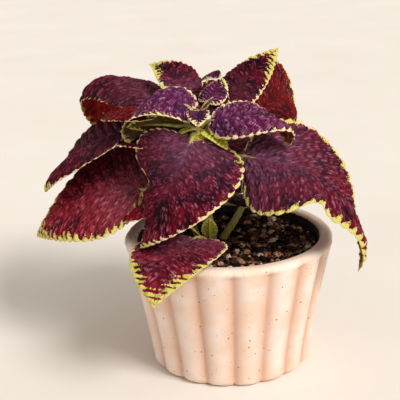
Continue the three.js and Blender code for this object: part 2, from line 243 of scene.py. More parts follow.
class Draft:
    """A mesh in the making: points, faces and a value per point for each named attribute."""

    def __init__(self) -> None:
        """Starts with nothing."""
        self.points: list[Array] = []
        self.faces: list[list[int]] = []
        self.values: dict[str, list[Array]] = {}
        self.count = 0

    def add(self, points: Array, faces: Iterable[Array], values: dict[str, Array | float]) -> None:
        """Adds one surface.

        Args:
            points: Points in millimetres, in any grid shape.
            faces: Arrays of point numbers, one row for a face. Repeated numbers in a face are dropped.
            values: The attributes, each an array in the grid's shape or one number for all.
        """
        shape = points.shape[:-1]
        for group in faces:
            for face in (group + self.count).tolist():
                corners = list(dict.fromkeys(face))
                if len(corners) > 2:
                    self.faces.append(corners)
        self.points.append(points.reshape(-1, 3))
        for name, value in values.items():
            column = np.broadcast_to(np.asarray(value, float), shape).ravel()
            self.values.setdefault(name, []).append(column)
        self.count += int(np.prod(shape))

    def tube(self, centres: Array, spokes: Array, values: dict[str, Array | float]) -> None:
        """Adds a closed tube.

        Args:
            centres: Points along its middle.
            spokes: For each of them, a vector from the middle to each point of its ring.
            values: The attributes, in the shape of the rings.
        """
        rings = centres[:, None, :] + spokes
        index = ring_numbers(*rings.shape[:2])
        self.add(rings, [grid_faces(index.T), index[:1, -2::-1], index[-1:, :-1]], values)

    def build(self, name: str, material: bpy.types.Material) -> bpy.types.Object:
        """Turns the draft into an object, without the points that no face uses.

        Args:
            name: The object's name.
            material: Its only material.

        Returns:
            The object, linked to the scene.
        """
        points = np.concatenate(self.points) * MM
        used = np.zeros(len(points), bool)
        used[np.fromiter((i for face in self.faces for i in face), int)] = True
        renumber = (np.cumsum(used) - 1).tolist()
        mesh = bpy.data.meshes.new(name)
        faces = [[renumber[i] for i in face] for face in self.faces]
        mesh.from_pydata(points[used].tolist(), [], faces)
        for key, columns in self.values.items():
            layer = mesh.attributes.new(key, "FLOAT", "POINT")
            layer.data.foreach_set("value", np.concatenate(columns)[used].astype(np.float32))
        mesh.polygons.foreach_set("use_smooth", np.ones(len(faces), bool))
        mesh.materials.append(material)
        return link(bpy.data.objects.new(name, mesh))


def link(item: bpy.types.Object) -> bpy.types.Object:
    """Puts an object into the scene and returns it."""
    bpy.context.scene.collection.objects.link(item)
    return item


def seat(piece: bpy.types.Object, node: str | None = None) -> bpy.types.Object:
    """Gives a piece its body and the solid that it stands for.

    Args:
        piece: The finished object.
        node: The solid that it replaces, or None for an added piece.

    Returns:
        The same piece.
    """
    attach(piece, BODY)
    if node is not None:
        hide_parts(node)
    triangles = sum(len(face.vertices) - 2 for face in piece.data.polygons)
    log.info("%s: %d triangles", piece.name, triangles)
    return piece


# ---------------------------------------------------------------- materials


class Shader:
    """The nodes of one material around its Principled shader."""

    def __init__(self, name: str) -> None:
        """Makes a material that holds only its shader.

        Args:
            name: The material's name.
        """
        self.material = bpy.data.materials.new(name)
        self.material.use_nodes = True
        self.tree = self.material.node_tree
        self.surface = self.tree.nodes["Principled BSDF"]
        self.place = self.tree.nodes.new("ShaderNodeTexCoord").outputs["Object"]

    def feed(self, socket: Socket, value: object) -> None:
        """Links a socket to another one, or sets it to a plain value.

        Args:
            socket: The input to feed.
            value: Another node's output, or a plain value.
        """
        if isinstance(value, bpy.types.NodeSocket):
            self.tree.links.new(value, socket)
        else:
            socket.default_value = value

    def node(self, kind: str, inputs: dict[str | int, object], **settings: object) -> bpy.types.Node:
        """Adds a node.

        Args:
            kind: The node's type name.
            inputs: What each input gets, a socket or a plain value.
            **settings: Settings of the node itself.

        Returns:
            The node.
        """
        node = self.tree.nodes.new(kind)
        for name, setting in settings.items():
            setattr(node, name, setting)
        for key, value in inputs.items():
            self.feed(node.inputs[key], value)
        return node

    def attribute(self, name: str) -> Socket:
        """A value that the mesh holds per point."""
        return self.node("ShaderNodeAttribute", {}, attribute_name=name).outputs["Fac"]

    def stretched(self, factors: Point) -> Socket:
        """The place in the object's frame, scaled by a factor along each axis."""
        inputs = {0: self.place, 1: factors}
        return self.node("ShaderNodeVectorMath", inputs, operation="MULTIPLY").outputs[0]

    def noise(self, size: float, detail: float = 2.0, place: Socket | None = None) -> Socket:
        """Cloudy noise whose features are about size millimetres across."""
        inputs = {"Vector": place or self.place, "Scale": 1 / (size * MM), "Detail": detail}
        return self.node("ShaderNodeTexNoise", inputs).outputs["Fac"]

    def cells(self, size: float) -> bpy.types.Node:
        """Random cells about size millimetres across."""
        inputs = {"Vector": self.place, "Scale": 1 / (size * MM)}
        return self.node("ShaderNodeTexVoronoi", inputs)

    def math(self, operation: str, first: object, second: object) -> Socket:
        """One operation on two values."""
        return self.node("ShaderNodeMath", {0: first, 1: second}, operation=operation).outputs[0]

    def times(self, first: object, second: object) -> Socket:
        """The product of two values."""
        return self.math("MULTIPLY", first, second)

    def plus(self, first: object, second: object) -> Socket:
        """The sum of two values."""
        return self.math("ADD", first, second)

    def span(
        self, value: Socket, low: float, high: float, start: float = 0.0, end: float = 1.0
    ) -> Socket:
        """Smoothly maps a value between low and high to start and end."""
        inputs = {"Value": value, "From Min": low, "From Max": high, "To Min": start, "To Max": end}
        return self.node("ShaderNodeMapRange", inputs, interpolation_type="SMOOTHSTEP").outputs["Result"]

    def waver(self, noise: Socket, reach: float) -> Socket:
        """Turns noise into a value that wavers about 0 by reach either way."""
        return self.span(noise, 0.3, 0.7, -reach, reach)

    def blend(self, share: object, first: object, second: object) -> Socket:
        """Mixes two colours."""
        inputs = {0: share, 6: first, 7: second}
        return self.node("ShaderNodeMix", inputs, data_type="RGBA", blend_type="MIX").outputs[2]

    def bump(self, height: Socket, depth: float, strength: float, under: Socket | None = None) -> Socket:
        """Tilts the surface by a height map.

        Args:
            height: The map, from 0 to 1.
            depth: How deep it is, in millimetres.
            strength: How much of it shows, from 0 to 1.
            under: Another bump below this one.

        Returns:
            The normal.
        """
        inputs = {"Height": height, "Distance": depth * MM, "Strength": strength}
        if under is not None:
            inputs["Normal"] = under
        return self.node("ShaderNodeBump", inputs).outputs["Normal"]

    def dress(self, **sockets: object) -> bpy.types.Material:
        """Feeds sockets of the Principled shader.

        Args:
            **sockets: What each socket gets, named with _ for a space.

        Returns:
            The finished material.
        """
        for name, value in sockets.items():
            self.feed(self.surface.inputs[name.replace("_", " ")], value)
        return self.material


@dataclass(frozen=True)
class Stoneware:
    """Unglazed cream stoneware with fine iron speckles.

    speckles and fine_speckles each give how far apart the spots lie, in millimetres, how large they are
    as a share of that, and how strong.
    """

    clay: Colour = screen(242, 224, 212)
    warm_clay: Colour = screen(238, 209, 188)
    painted_groove_shade: Colour = screen(196, 136, 98)
    # Painted shade for the inner wall below the lip.
    painted_inner_shade: Colour = screen(34, 21, 14)
    speckle: Colour = screen(104, 74, 56)
    speckles: Point = (2.7, 0.17, 0.9)
    fine_speckles: Point = (1.3, 0.2, 0.5)
    roughness: tuple[float, float] = (0.5, 0.68)

    def material(self) -> bpy.types.Material:
        """Builds the clay: mottled, with painted shade, darker and warmer, in the flutes and on the inner
        wall, speckled and finely pitted.

        Returns:
            The finished material.
        """
        shader = Shader("stoneware")
        mottle = shader.noise(14, 3)
        clay = shader.blend(shader.span(mottle, 0.35, 0.65), self.clay, self.warm_clay)
        # Painted shade in the flutes, deepest in the middle of each groove.
        depth = shader.times(shader.attribute("groove"), 0.8)
        clay = shader.blend(depth, clay, self.painted_groove_shade)
        for spacing, size, strength in (self.speckles, self.fine_speckles):
            spots = shader.cells(spacing)
            chance = shader.node("ShaderNodeSeparateColor", {0: spots.outputs["Color"]})
            grain = shader.times(chance.outputs[0], chance.outputs[1])
            reach = shader.span(grain, 0.12, 0.7, 0.0, size)
            inside = shader.math("SUBTRACT", reach, spots.outputs["Distance"])
            dot = shader.times(shader.span(inside, -0.01, 0.03), strength)
            clay = shader.blend(dot, clay, self.speckle)
        # Painted shade on the inner wall below the lip, with a ragged edge.
        inner_shade_share = shader.plus(shader.attribute("inside"), shader.waver(shader.noise(3, 3), 0.2))
        clay = shader.blend(shader.span(inner_shade_share, 0.35, 0.75), clay, self.painted_inner_shade)
        grit = shader.noise(0.7, 3)
        smears = shader.noise(9, 2, shader.stretched((1, 1, 3)))
        relief = shader.bump(grit, 0.10, 0.35, shader.bump(smears, 0.5, 0.25))
        rough = shader.span(grit, 0.3, 0.7, *self.roughness)
        return shader.dress(Base_Color=clay, Roughness=rough, Normal=relief)


@dataclass(frozen=True)
class Compost:
    """Dark coir compost, one tint for each crumb."""

    black: Colour = screen(14, 7, 4)
    brown: Colour = screen(128, 82, 58)
    rust: Colour = screen(222, 172, 136)

    def material(self) -> bpy.types.Material:
        """Builds the compost: tinted by crumb, flecked with rust, darker in patches and rough.

        Returns:
            The finished material.
        """
        shader = Shader("compost")
        tint = shader.attribute("tint")
        grain = shader.noise(1.2, 4)
        earth = shader.blend(shader.span(tint, 0.15, 0.8), self.black, self.brown)
        rusty = shader.times(shader.span(tint, 0.6, 0.95), shader.span(grain, 0.35, 0.6))
        earth = shader.blend(rusty, earth, self.rust)
        earth = shader.blend(shader.span(grain, 0.5, 0.35, 0.0, 0.6), earth, self.black)
        relief = shader.bump(shader.noise(0.5, 4), 0.25, 0.7)
        rough = shader.span(grain, 0.3, 0.7, 0.75, 0.98)
        return shader.dress(Base_Color=earth, Roughness=rough, Normal=relief, Specular_IOR_Level=0.15)


@dataclass(frozen=True)
class Perlite:
    """Chalky white grains with a little compost in their pits."""

    chalk: Colour = screen(232, 222, 208)
    dust: Colour = screen(150, 118, 92)

    def material(self) -> bpy.types.Material:
        """Builds the grains: white, dusty in the pits.

        Returns:
            The finished material.
        """
        shader = Shader("perlite")
        pits = shader.noise(0.8, 3)
        chalk = shader.blend(shader.span(pits, 0.55, 0.35), self.chalk, self.dust)
        relief = shader.bump(pits, 0.3, 0.8)
        rough = shader.span(pits, 0.3, 0.7, 0.7, 0.95)
        return shader.dress(Base_Color=chalk, Roughness=rough, Normal=relief)


@dataclass(frozen=True)
class StemSkin:
    """Pale green stem skin, streaked lengthwise and flushed at the joints."""

    green: Colour = screen(150, 142, 52)
    pale: Colour = screen(196, 184, 92)
    flush: Colour = screen(124, 74, 70)

    def material(self) -> bpy.types.Material:
        """Builds the skin: streaks, a flush at each joint, fine fuzz.

        Returns:
            The finished material.
        """
        shader = Shader("stem_skin")
        streaks = shader.noise(1.1, 3, shader.stretched((1, 1, 0.15)))
        green = shader.blend(shader.span(streaks, 0.35, 0.65), self.green, self.pale)
        joint = shader.times(shader.attribute("joint"), shader.noise(3, 2))
        green = shader.blend(joint, green, self.flush)
        relief = shader.bump(streaks, 0.2, 0.5)
        rough = shader.span(streaks, 0.3, 0.7, 0.45, 0.65)
        return shader.dress(Base_Color=green, Roughness=rough, Normal=relief, Sheen_Weight=0.25)


@dataclass(frozen=True)
class LeafFinish:
    """Colours of one kind of leaf: the upper side, the margin, the underside and the petiole."""

    name: str
    # Painted shade for the furrows of the quilting, also the tone of random darker patches.
    furrow: Colour = screen(24, 2, 10)
    crest: Colour = screen(100, 22, 42)
    # Painted highlight for the highest crests of the quilting.
    painted_highlight: Colour = screen(184, 120, 150)
    blush: Colour = screen(112, 10, 28)
    # Painted sheen, lilac-grey, near the base and along the veins.
    painted_sheen: Colour = screen(142, 92, 124)
    margin: Colour = screen(200, 194, 94)
    cream: Colour = screen(232, 204, 160)
    below: Colour = screen(104, 20, 32)
    below_vein: Colour = screen(168, 96, 84)
    below_margin: Colour = screen(176, 160, 92)
    petiole: Colour = screen(150, 142, 70)
    petiole_pale: Colour = screen(190, 176, 112)
    gloss: float = 0.05

    def upper_side(self, shader: Shader, relief: Socket, along: Socket) -> Socket:
        """Colours the upper side: painted shade darkens the furrows, painted highlights light the crests,
        a grey painted sheen lies near the base, and there are crimson patches.

        Args:
            shader: The material's nodes.
            relief: Relief of the quilting, from 0 in its furrows to 1.
            along: Place along the leaf, from 0 at its base to 1.

        Returns:
            The colour.
        """
        mottle, cloud = shader.noise(2.4, 3), shader.noise(11, 2)
        # Painted shade: the furrows are darkened towards the furrow colour.
        field = shader.blend(shader.span(relief, 0.12, 0.92), self.furrow, self.crest)
        patches = shader.times(shader.span(cloud, 0.43, 0.57), along)
        patches = shader.times(patches, shader.span(mottle, 0.3, 0.7, 0.5, 1.0))
        field = shader.blend(patches, field, self.blush)
        field = shader.blend(shader.span(cloud, 0.5, 0.34, 0.0, 0.75), field, self.furrow)
        # Painted sheen near the base.
        painted_sheen = shader.times(shader.attribute("painted_sheen"), shader.span(mottle, 0.25, 0.75, 0.35, 0.9))
        field = shader.blend(painted_sheen, field, self.painted_sheen)
        # Painted highlights on the highest crests.
        lit = shader.times(shader.span(relief, 0.66, 1.0), shader.span(mottle, 0.36, 0.66, 0.03, 0.42))
        return shader.blend(lit, field, self.painted_highlight)

    def edging(self, shader: Shader, relief: Socket) -> Socket:
        """Colours the margin: lime where it is broad, cream where it is a thin line, with a painted
        highlight where the quilting is raised.

        Args:
            shader: The material's nodes.
            relief: Relief of the quilting, from 0 in its furrows to 1.

        Returns:
            The colour.
        """
        tone = shader.plus(shader.attribute("lime"), shader.waver(shader.noise(2.2, 2), 0.35))
        colour = shader.blend(shader.span(tone, 0.25, 0.75), self.cream, self.margin)
        # Painted highlight, in cream, where the quilting is raised.
        painted_margin_highlight = shader.times(shader.span(relief, 0.3, 1.0), 0.4)
        return shader.blend(painted_margin_highlight, colour, self.cream)

    def underside(self, shader: Shader, relief: Socket, rim: Socket) -> Socket:
        """Colours the underside: a paler net of veins and a soft margin.

        Args:
            shader: The material's nodes.
            relief: Relief of the quilting, from 0 in its furrows to 1.
            rim: Distance from the edge, in widths of the margin.

        Returns:
            The colour.
        """
        veins = shader.math("MAXIMUM", shader.span(relief, 0.35, 0.0), shader.attribute("vein"))
        field = shader.blend(shader.times(veins, 0.6), self.below, self.below_vein)
        field = shader.blend(shader.span(shader.noise(7, 3), 0.4, 0.7, 0.0, 0.4), field, self.furrow)
        return shader.blend(shader.span(rim, 1.35, 0.75), field, self.below_margin)

    def material(self) -> bpy.types.Material:
        """Puts upper side, margin, underside and petiole together, with fine cell relief.

        Returns:
            The finished material.
        """
        shader = Shader(self.name)
        relief, along = shader.attribute("relief"), shader.attribute("along")
        fine, coarse = shader.noise(0.6, 2), shader.noise(1.7, 2)
        ragged = shader.plus(shader.waver(fine, 0.35), shader.waver(coarse, 0.35))
        rim = shader.plus(shader.attribute("rim"), ragged)
        edging = shader.span(rim, 1.12, 0.92)
        top = self.upper_side(shader, relief, along)
        top = shader.blend(edging, top, self.edging(shader, relief))
        leaf = shader.blend(shader.attribute("under"), top, self.underside(shader, relief, rim))
        skin = shader.blend(shader.span(shader.noise(2, 2), 0.4, 0.65), self.petiole, self.petiole_pale)
        leaf = shader.blend(shader.attribute("stalk"), leaf, skin)
        normal = shader.bump(fine, 0.14, 0.6, shader.bump(coarse, 0.3, 0.5))
        rough = shader.span(relief, 0.0, 1.0, 0.66, 0.4)
        return shader.dress(
            Base_Color=leaf, Roughness=rough, Normal=normal, Specular_IOR_Level=self.gloss
        )


# Darker tones of painted shade, for leaves that face away from the light or lie in shadow.
SHADE_DARKENED_TONES: dict[str, Colour] = {
    "furrow": screen(24, 1, 9),
    "crest": screen(90, 17, 34),
    "painted_highlight": screen(152, 96, 124),
    "blush": screen(98, 8, 22),
    "painted_sheen": screen(112, 66, 86),
}

VIOLET_TONES: dict[str, Colour | float] = {
    "furrow": screen(34, 4, 28),
    "crest": screen(118, 52, 84),
    "painted_highlight": screen(220, 176, 200),
    "blush": screen(106, 18, 76),
    "painted_sheen": screen(98, 34, 96),
    "margin": screen(216, 212, 124),
    "cream": screen(236, 208, 170),
    "gloss": 0.1,
}


class LeafKind(Enum):
    """The kinds of leaf on this plant."""

    PLUM = LeafFinish("plum_leaf")
    CRIMSON = LeafFinish(
        "crimson_leaf",
        furrow=screen(54, 2, 12),
        crest=screen(138, 33, 48),
        painted_highlight=screen(200, 126, 148),
        blush=screen(138, 8, 26),
        painted_sheen=screen(158, 92, 108),
        below=screen(84, 8, 14),
        below_vein=screen(120, 44, 44),
    )
    MAUVE = LeafFinish(
        "mauve_leaf",
        furrow=screen(58, 3, 16),
        crest=screen(134, 40, 60),
        painted_highlight=screen(214, 152, 172),
        blush=screen(128, 14, 36),
        painted_sheen=screen(160, 100, 122),
    )
    # Painted shade: the darker tones for leaves in shadow.
    SHADE_DARKENED = LeafFinish("shade_darkened_leaf", **SHADE_DARKENED_TONES)
    # Painted shade: the shade-darkened tones and a dark olive underside, for leaves deep in the plant.
    SHADED = LeafFinish(
        "shaded_leaf", **SHADE_DARKENED_TONES, below=screen(66, 52, 22), below_vein=screen(104, 88, 48)
    )
    VIOLET = LeafFinish(
        "violet_leaf", **VIOLET_TONES, below=screen(92, 68, 46), below_vein=screen(132, 106, 70)
    )
    SCARLET = LeafFinish(
        "scarlet_leaf",
        furrow=screen(38, 1, 5),
        crest=screen(116, 16, 22),
        painted_highlight=screen(180, 84, 84),
        blush=screen(112, 8, 16),
        painted_sheen=screen(112, 30, 36),
        below=screen(100, 14, 20),
    )
    ROLLED = LeafFinish(
        "rolled_leaf", **VIOLET_TONES, below=screen(116, 26, 36), below_vein=screen(168, 100, 84)
    )
    # The upper side has the painted-shade tones. The bright red underside, with its veins and golden
    # margin, is painted light shining through the leaf.
    SUNLIT = LeafFinish(
        "sunlit_leaf",
        **SHADE_DARKENED_TONES,
        below=screen(154, 24, 38),
        below_vein=screen(192, 80, 66),
        below_margin=screen(204, 176, 60),
    )
    LIME = LeafFinish(
        "lime_leaf",
        furrow=screen(164, 170, 16),
        crest=screen(226, 226, 52),
        painted_highlight=screen(240, 236, 136),
        blush=screen(196, 190, 56),
        painted_sheen=screen(190, 190, 56),
        margin=screen(184, 180, 66),
        cream=screen(222, 206, 130),
        below=screen(150, 144, 44),
        below_vein=screen(190, 180, 92),
        below_margin=screen(214, 200, 124),
        petiole=screen(160, 156, 64),
    )


# ---------------------------------------------------------------- pot


@dataclass
class FlutedPot:
    """A round pot with broad ribs, narrow grooves and a smooth thick lip."""

    finish: Stoneware = Stoneware()
    height: float = 70
    rim_radius: float = 55
    mouth_radius: float = 48
    foot_radius: float = 43.5
    flare: float = 1.2
    foot_rounding: float = 5
    outer_rounding: float = 3
    inner_rounding: float = 2.5
    floor_height: float = 8
    floor_radius: float = 34
    inner_foot: tuple[float, float] = (39.5, 13)
    flutes: int = 18
    groove_depth: float = 2.5
    groove_sharpness: float = 0.7
    groove_end: float = 66.3
    groove_bottom: float = 0.05
    lip_scallop: float = 0.3
    steps_per_flute: int = 20
    wall_rows: int = 36
    inner_rows: int = 15
    foot_steps: int = 8
    outer_steps: int = 9
    inner_steps: int = 8
    unevenness: float = 0.12
    uneven_places: int = 18
    seed: int = 5
    inner_shade_depth: tuple[float, float] = (1.0, 2.6)

    def inner_radius(self, z: Array) -> Array:
        """Works out how wide the smooth inner wall is.

        Args:
            z: Heights.

        Returns:
            The radii.
        """
        foot, level = self.inner_foot
        share = (z - level) / (self.height - self.inner_rounding - level)
        return foot + (self.mouth_radius - foot) * share

    def groove(self, angle: Array, share: Array) -> Array:
        """Works out how far the wall is drawn in.

        Args:
            angle: Places round the pot.
            share: How much of the grooves there is at a height: they get shallower and narrower with it.

        Returns:
            1 in the middle of a groove and 0 on a rib.
        """
        place = (angle + math.pi / 2) * self.flutes / (2 * math.pi)
        across = np.abs(place - np.round(place)) * 2 / np.maximum(share, 0.05) ** 0.5
        softened = np.sqrt(across**2 + self.groove_bottom**2)
        return share * (1 - np.sin(np.minimum(softened, 1) * math.pi / 2) ** self.groove_sharpness)

    def arc(
        self, middle: tuple[float, float], radius: float, steps: int, angles: tuple[float, float],
        fade: tuple[float, float],
    ) -> Array:
        """A rounding of the profile.

        Args:
            middle: Distance of the rounding's middle from the axis, and its height.
            radius: The rounding's own radius.
            steps: How finely it is divided.
            angles: Its first and last angle, in degrees.
            fade: How much of the grooves it has at its start and at its end.

        Returns:
            Rows of radius, height and share of the grooves.
        """
        turn = np.radians(np.linspace(*angles, steps + 1))
        share = np.linspace(*fade, steps + 1)
        reach, height = middle
        return np.stack([reach + radius * np.cos(turn), height + radius * np.sin(turn), share], -1)

    def profile(self) -> Array:
        """The turned outline from the middle of the base, over the lip, to the middle of the floor.

        Returns:
            Rows of radius, height and share of the grooves.
        """
        lip_start = self.height - self.outer_rounding
        mouth_start = self.height - self.inner_rounding
        share = np.linspace(0, 1, self.wall_rows + 2)[1:-1]
        z = self.foot_rounding + (lip_start - self.foot_rounding) * share
        rise = np.clip((z - self.groove_end) / (lip_start - self.groove_end), 0, 1)
        ending = self.lip_scallop + (1 - self.lip_scallop) * np.sqrt(1 - rise**2)
        radius = self.foot_radius + (self.rim_radius - self.foot_radius) * share**self.flare
        wall = np.stack([radius, z, ending], -1)
        inner_z = np.linspace(mouth_start, self.inner_foot[1], self.inner_rows + 1)[1:]
        inner = np.stack([self.inner_radius(inner_z), inner_z, 0 * inner_z], -1)
        foot = (self.foot_radius - self.foot_rounding, self.foot_rounding)
        outer = (self.rim_radius - self.outer_rounding, lip_start)
        mouth = (self.mouth_radius + self.inner_rounding, mouth_start)
        base = np.array([[0, 0, 0], [foot[0] * 0.5, 0, 0], [foot[0] * 0.97, 0, 0.4]])
        floor = np.array([[self.floor_radius, self.floor_height, 0], [0, self.floor_height, 0]])
        return np.concatenate([
            base,
            self.arc(foot, self.foot_rounding, self.foot_steps, (-90, 0), (0.5, 1)),
            wall,
            self.arc(outer, self.outer_rounding, self.outer_steps, (0, 90), (self.lip_scallop, 0.1)),
            self.arc(mouth, self.inner_rounding, self.inner_steps, (90, 180), (0.1, 0)),
            inner,
            floor,
        ])

    def build(self) -> bpy.types.Object:
        """Turns the profile, draws in the grooves and makes the hand-thrown unevenness.

        Returns:
            The pot.
        """
        profile = self.profile()
        reach, level, share = (profile[:, column, None] for column in range(3))
        angle = round_angles(self.flutes * self.steps_per_flute)
        groove = self.groove(angle[None, :], share)
        uneven = Ripple(self.seed).at(angle * (self.uneven_places / 2) / math.pi, 0 * angle)
        wobble = self.unevenness * uneven * (level > 0)
        radius = reach - self.groove_depth * groove + wobble * (reach > 1)
        past_rim = np.arange(len(profile))[:, None] > profile[:, 1].argmax()
        # Where the inner wall gets painted shade: from a little below the lip downwards.
        shade_start, shade_end = self.inner_shade_depth
        inside = past_rim * ease(self.height - shade_start, self.height - shade_end, level)
        index = ring_numbers(*radius.shape, poles=True)
        values = {"groove": groove, "inside": inside + 0 * groove}
        draft = Draft()
        draft.add(turned(radius, angle, level), [grid_faces(index.T)], values)
        return seat(draft.build("pot_stoneware", self.finish.material()), "pot")


# ---------------------------------------------------------------- compost


@dataclass
class CompostFill:
    """Lumpy compost that fills the pot, with loose crumbs, fibres and perlite on it.

    clod, lump and swell each give the size across and the height of the compost's unevenness. sunk and
    settled lower it. mostly_small and mostly_dark are powers that keep most lumps small and dark.
    """

    pot: FlutedPot
    finish: Compost = Compost()
    perlite: Perlite = Perlite()
    level: float = 64.2
    crown: float = 0.9
    wall_gap: float = 0.12
    crumbs: int = 1400
    crumb_size: tuple[float, float] = (0.9, 3.6)
    fibres: int = 130
    grains: int = 64
    grain_size: tuple[float, float] = (1.2, 4.0)
    fibre_length: tuple[float, float] = (4, 10)
    fibre_radius: tuple[float, float] = (0.09, 0.2)
    fibre_points: int = 9
    fibre_sides: int = 5
    fibre_lift: tuple[float, float] = (0.1, 0.6)
    bare_edge: float = 2.2
    clod: tuple[float, float] = (4.5, 1.1)
    lump: tuple[float, float] = (1.9, 0.7)
    swell: tuple[float, float] = (12, 0.9)
    flat_top: float = 0.7
    sunk: float = 1.0
    settled: float = 0.3
    sides: int = 240
    rings: int = 84
    foot_gap: float = 1.2
    floor_gap: float = 0.3
    knobs: int = 5
    knob_height: float = 0.16
    chipping: float = 0.14
    lean: float = 0.35
    flatness: tuple[float, float] = (0.5, 0.9)
    mostly_small: float = 2.2
    mostly_dark: float = 1.3
    coarse: Blisters = field(default_factory=lambda: Blisters(11, 0.9))
    clods: Ripple = field(default_factory=lambda: Ripple(12))

    @property
    def radius(self) -> float:
        """Radius of the compost's top."""
        return float(self.pot.inner_radius(np.array(self.level))) - self.wall_gap

    def surface(self, x: Array, y: Array) -> Array:
        """Works out how high the compost stands.

        Args:
            x: Places to the right.
            y: Places to the back.

        Returns:
            The heights.
        """
        share = np.hypot(x, y) / self.radius
        across, height = self.clod
        lumps = height * np.minimum(self.coarse.domes(x / across, y / across), self.flat_top)
        across, height = self.lump
        lumps = lumps + height * np.minimum(self.coarse.domes(x / across + 9, y / across), self.flat_top)
        across, height = self.swell
        swell = height * self.clods.layered(x / across, y / across)
        uneven = (lumps - self.sunk + swell) * ease(1.0, 0.93, share)
        return self.level + self.crown * (1 - share**2) + uneven - self.settled

    def build_fill(self) -> bpy.types.Object:
        """Builds the body of compost, down to the pot's floor.

        Returns:
            The compost.
        """
        angle = round_angles(self.sides)
        top = turned(self.radius * np.linspace(0, 1, self.rings)[:, None], angle, 0)
        top[..., 2] = self.surface(top[..., 0], top[..., 1])
        wall_foot, bottom = self.pot.inner_foot[1], self.pot.floor_height + self.floor_gap
        below = []
        for z in (wall_foot + 1, bottom):
            reach = float(self.pot.inner_radius(np.array(max(z, wall_foot)))) - self.foot_gap
            below.append(turned(reach, angle, z)[None])
        points = np.concatenate([top, *below, turned(0, angle, bottom)[None]])
        tint = 0.22 + 0.3 * self.clods.layered(points[..., 0] / 2.5, points[..., 1] / 2.5)
        index = ring_numbers(len(points), self.sides, poles=True)
        draft = Draft()
        draft.add(points, [grid_faces(index)], {"tint": tint})
        return seat(draft.build("compost_fill", self.finish.material()), "soil")

    def strewn(self, rng: np.random.Generator, count: int, sink: float) -> Array:
        """Picks random places on the compost.

        Args:
            rng: The source of the places.
            count: How many there are.
            sink: How far below the surface they lie.

        Returns:
            The places.
        """
        reach = (self.radius - self.bare_edge) * np.sqrt(rng.uniform(0, 1, count))
        angle = rng.uniform(0, 2 * math.pi, count)
        x, y = reach * np.cos(angle), reach * np.sin(angle)
        return np.stack([x, y, self.surface(x, y) - sink], -1)

    def lumps(
        self, name: str, finish: Compost | Perlite, seed: int, count: int, size: tuple[float, float],
        stretch: float,
    ) -> bpy.types.Object:
        """Strews irregular lumps on the compost as one piece.

        Args:
            name: The piece's name.
            finish: What the lumps are made of.
            seed: Seed of their places and shapes.
            count: How many there are.
            size: The smallest and the largest, across.
            stretch: How much longer than wide the longest are.

        Returns:
            The piece.
        """
        ball = bmesh.new()
        bmesh.ops.create_icosphere(ball, subdivisions=2, radius=0.5)
        ball.verts.ensure_lookup_table()
        pattern = np.array([vertex.co for vertex in ball.verts])
        faces = np.array([[vertex.index for vertex in face.verts] for face in ball.faces])
        ball.free()
        rng = np.random.default_rng(seed)
        places = self.strewn(rng, count, 0.1)
        draft = Draft()
        for place in places:
            across = size[0] + (size[1] - size[0]) * rng.uniform() ** self.mostly_small
            scale = across * np.array([rng.uniform(1, stretch), 1, rng.uniform(*self.flatness)])
            knobs = rng.normal(0, 1, (self.knobs, 3))
            swollen = np.sum(np.maximum(pattern @ knobs.T, 0), axis=1, keepdims=True)
            bumpy = 1 + self.knob_height * swollen
            chips = 1 + rng.uniform(-self.chipping, self.chipping, (len(pattern), 1))
            turn = Matrix.Rotation(rng.uniform(0, 2 * math.pi), 3, "Z")
            for axis in "YX":
                turn = turn @ Matrix.Rotation(rng.normal(0, self.lean), 3, axis)
            lump = (pattern * bumpy * chips * scale) @ np.array(turn).T + place
            draft.add(lump, [faces], {"tint": rng.uniform() ** self.mostly_dark})
        return seat(draft.build(name, finish.material()))

    def build_fibres(self) -> bpy.types.Object:
        """Lays short curved coir fibres on the compost as one piece.

        Returns:
            The fibres.
        """
        rng = np.random.default_rng(31)
        draft = Draft()
        for place in self.strewn(rng, self.fibres, -0.15):
            length = rng.uniform(*self.fibre_length)
            share = np.linspace(-0.5, 0.5, self.fibre_points)
            turn = rng.uniform(0, 360) + share * rng.uniform(-90, 90)
            path = place + np.cumsum(heading(turn, 0 * turn), axis=0) * length / self.fibre_points
            path = path[np.hypot(path[:, 0], path[:, 1]) < self.radius - 1]
            if len(path) < 4:
                continue
            path[:, 2] = self.surface(path[:, 0], path[:, 1]) + rng.uniform(*self.fibre_lift)
            along = unit(np.gradient(path, axis=0))
            side = unit(np.cross(along, [0, 0, 1]))
            ring = spokes(side, np.cross(along, side), round_angles(self.fibre_sides))
            draft.tube(path, ring * rng.uniform(*self.fibre_radius), {"tint": rng.uniform(0.6, 1)})
        return seat(draft.build("coir_fibres", self.finish.material()))

    def build(self) -> None:
        """Builds the fill and what lies on it."""
        self.build_fill()
        self.lumps(
            "compost_crumbs", self.finish, seed=21, count=self.crumbs, size=self.crumb_size, stretch=1.9
        )
        self.build_fibres()
        self.lumps(
            "perlite_grains", self.perlite, seed=41, count=self.grains, size=self.grain_size, stretch=1.3
        )


# ---------------------------------------------------------------- stems


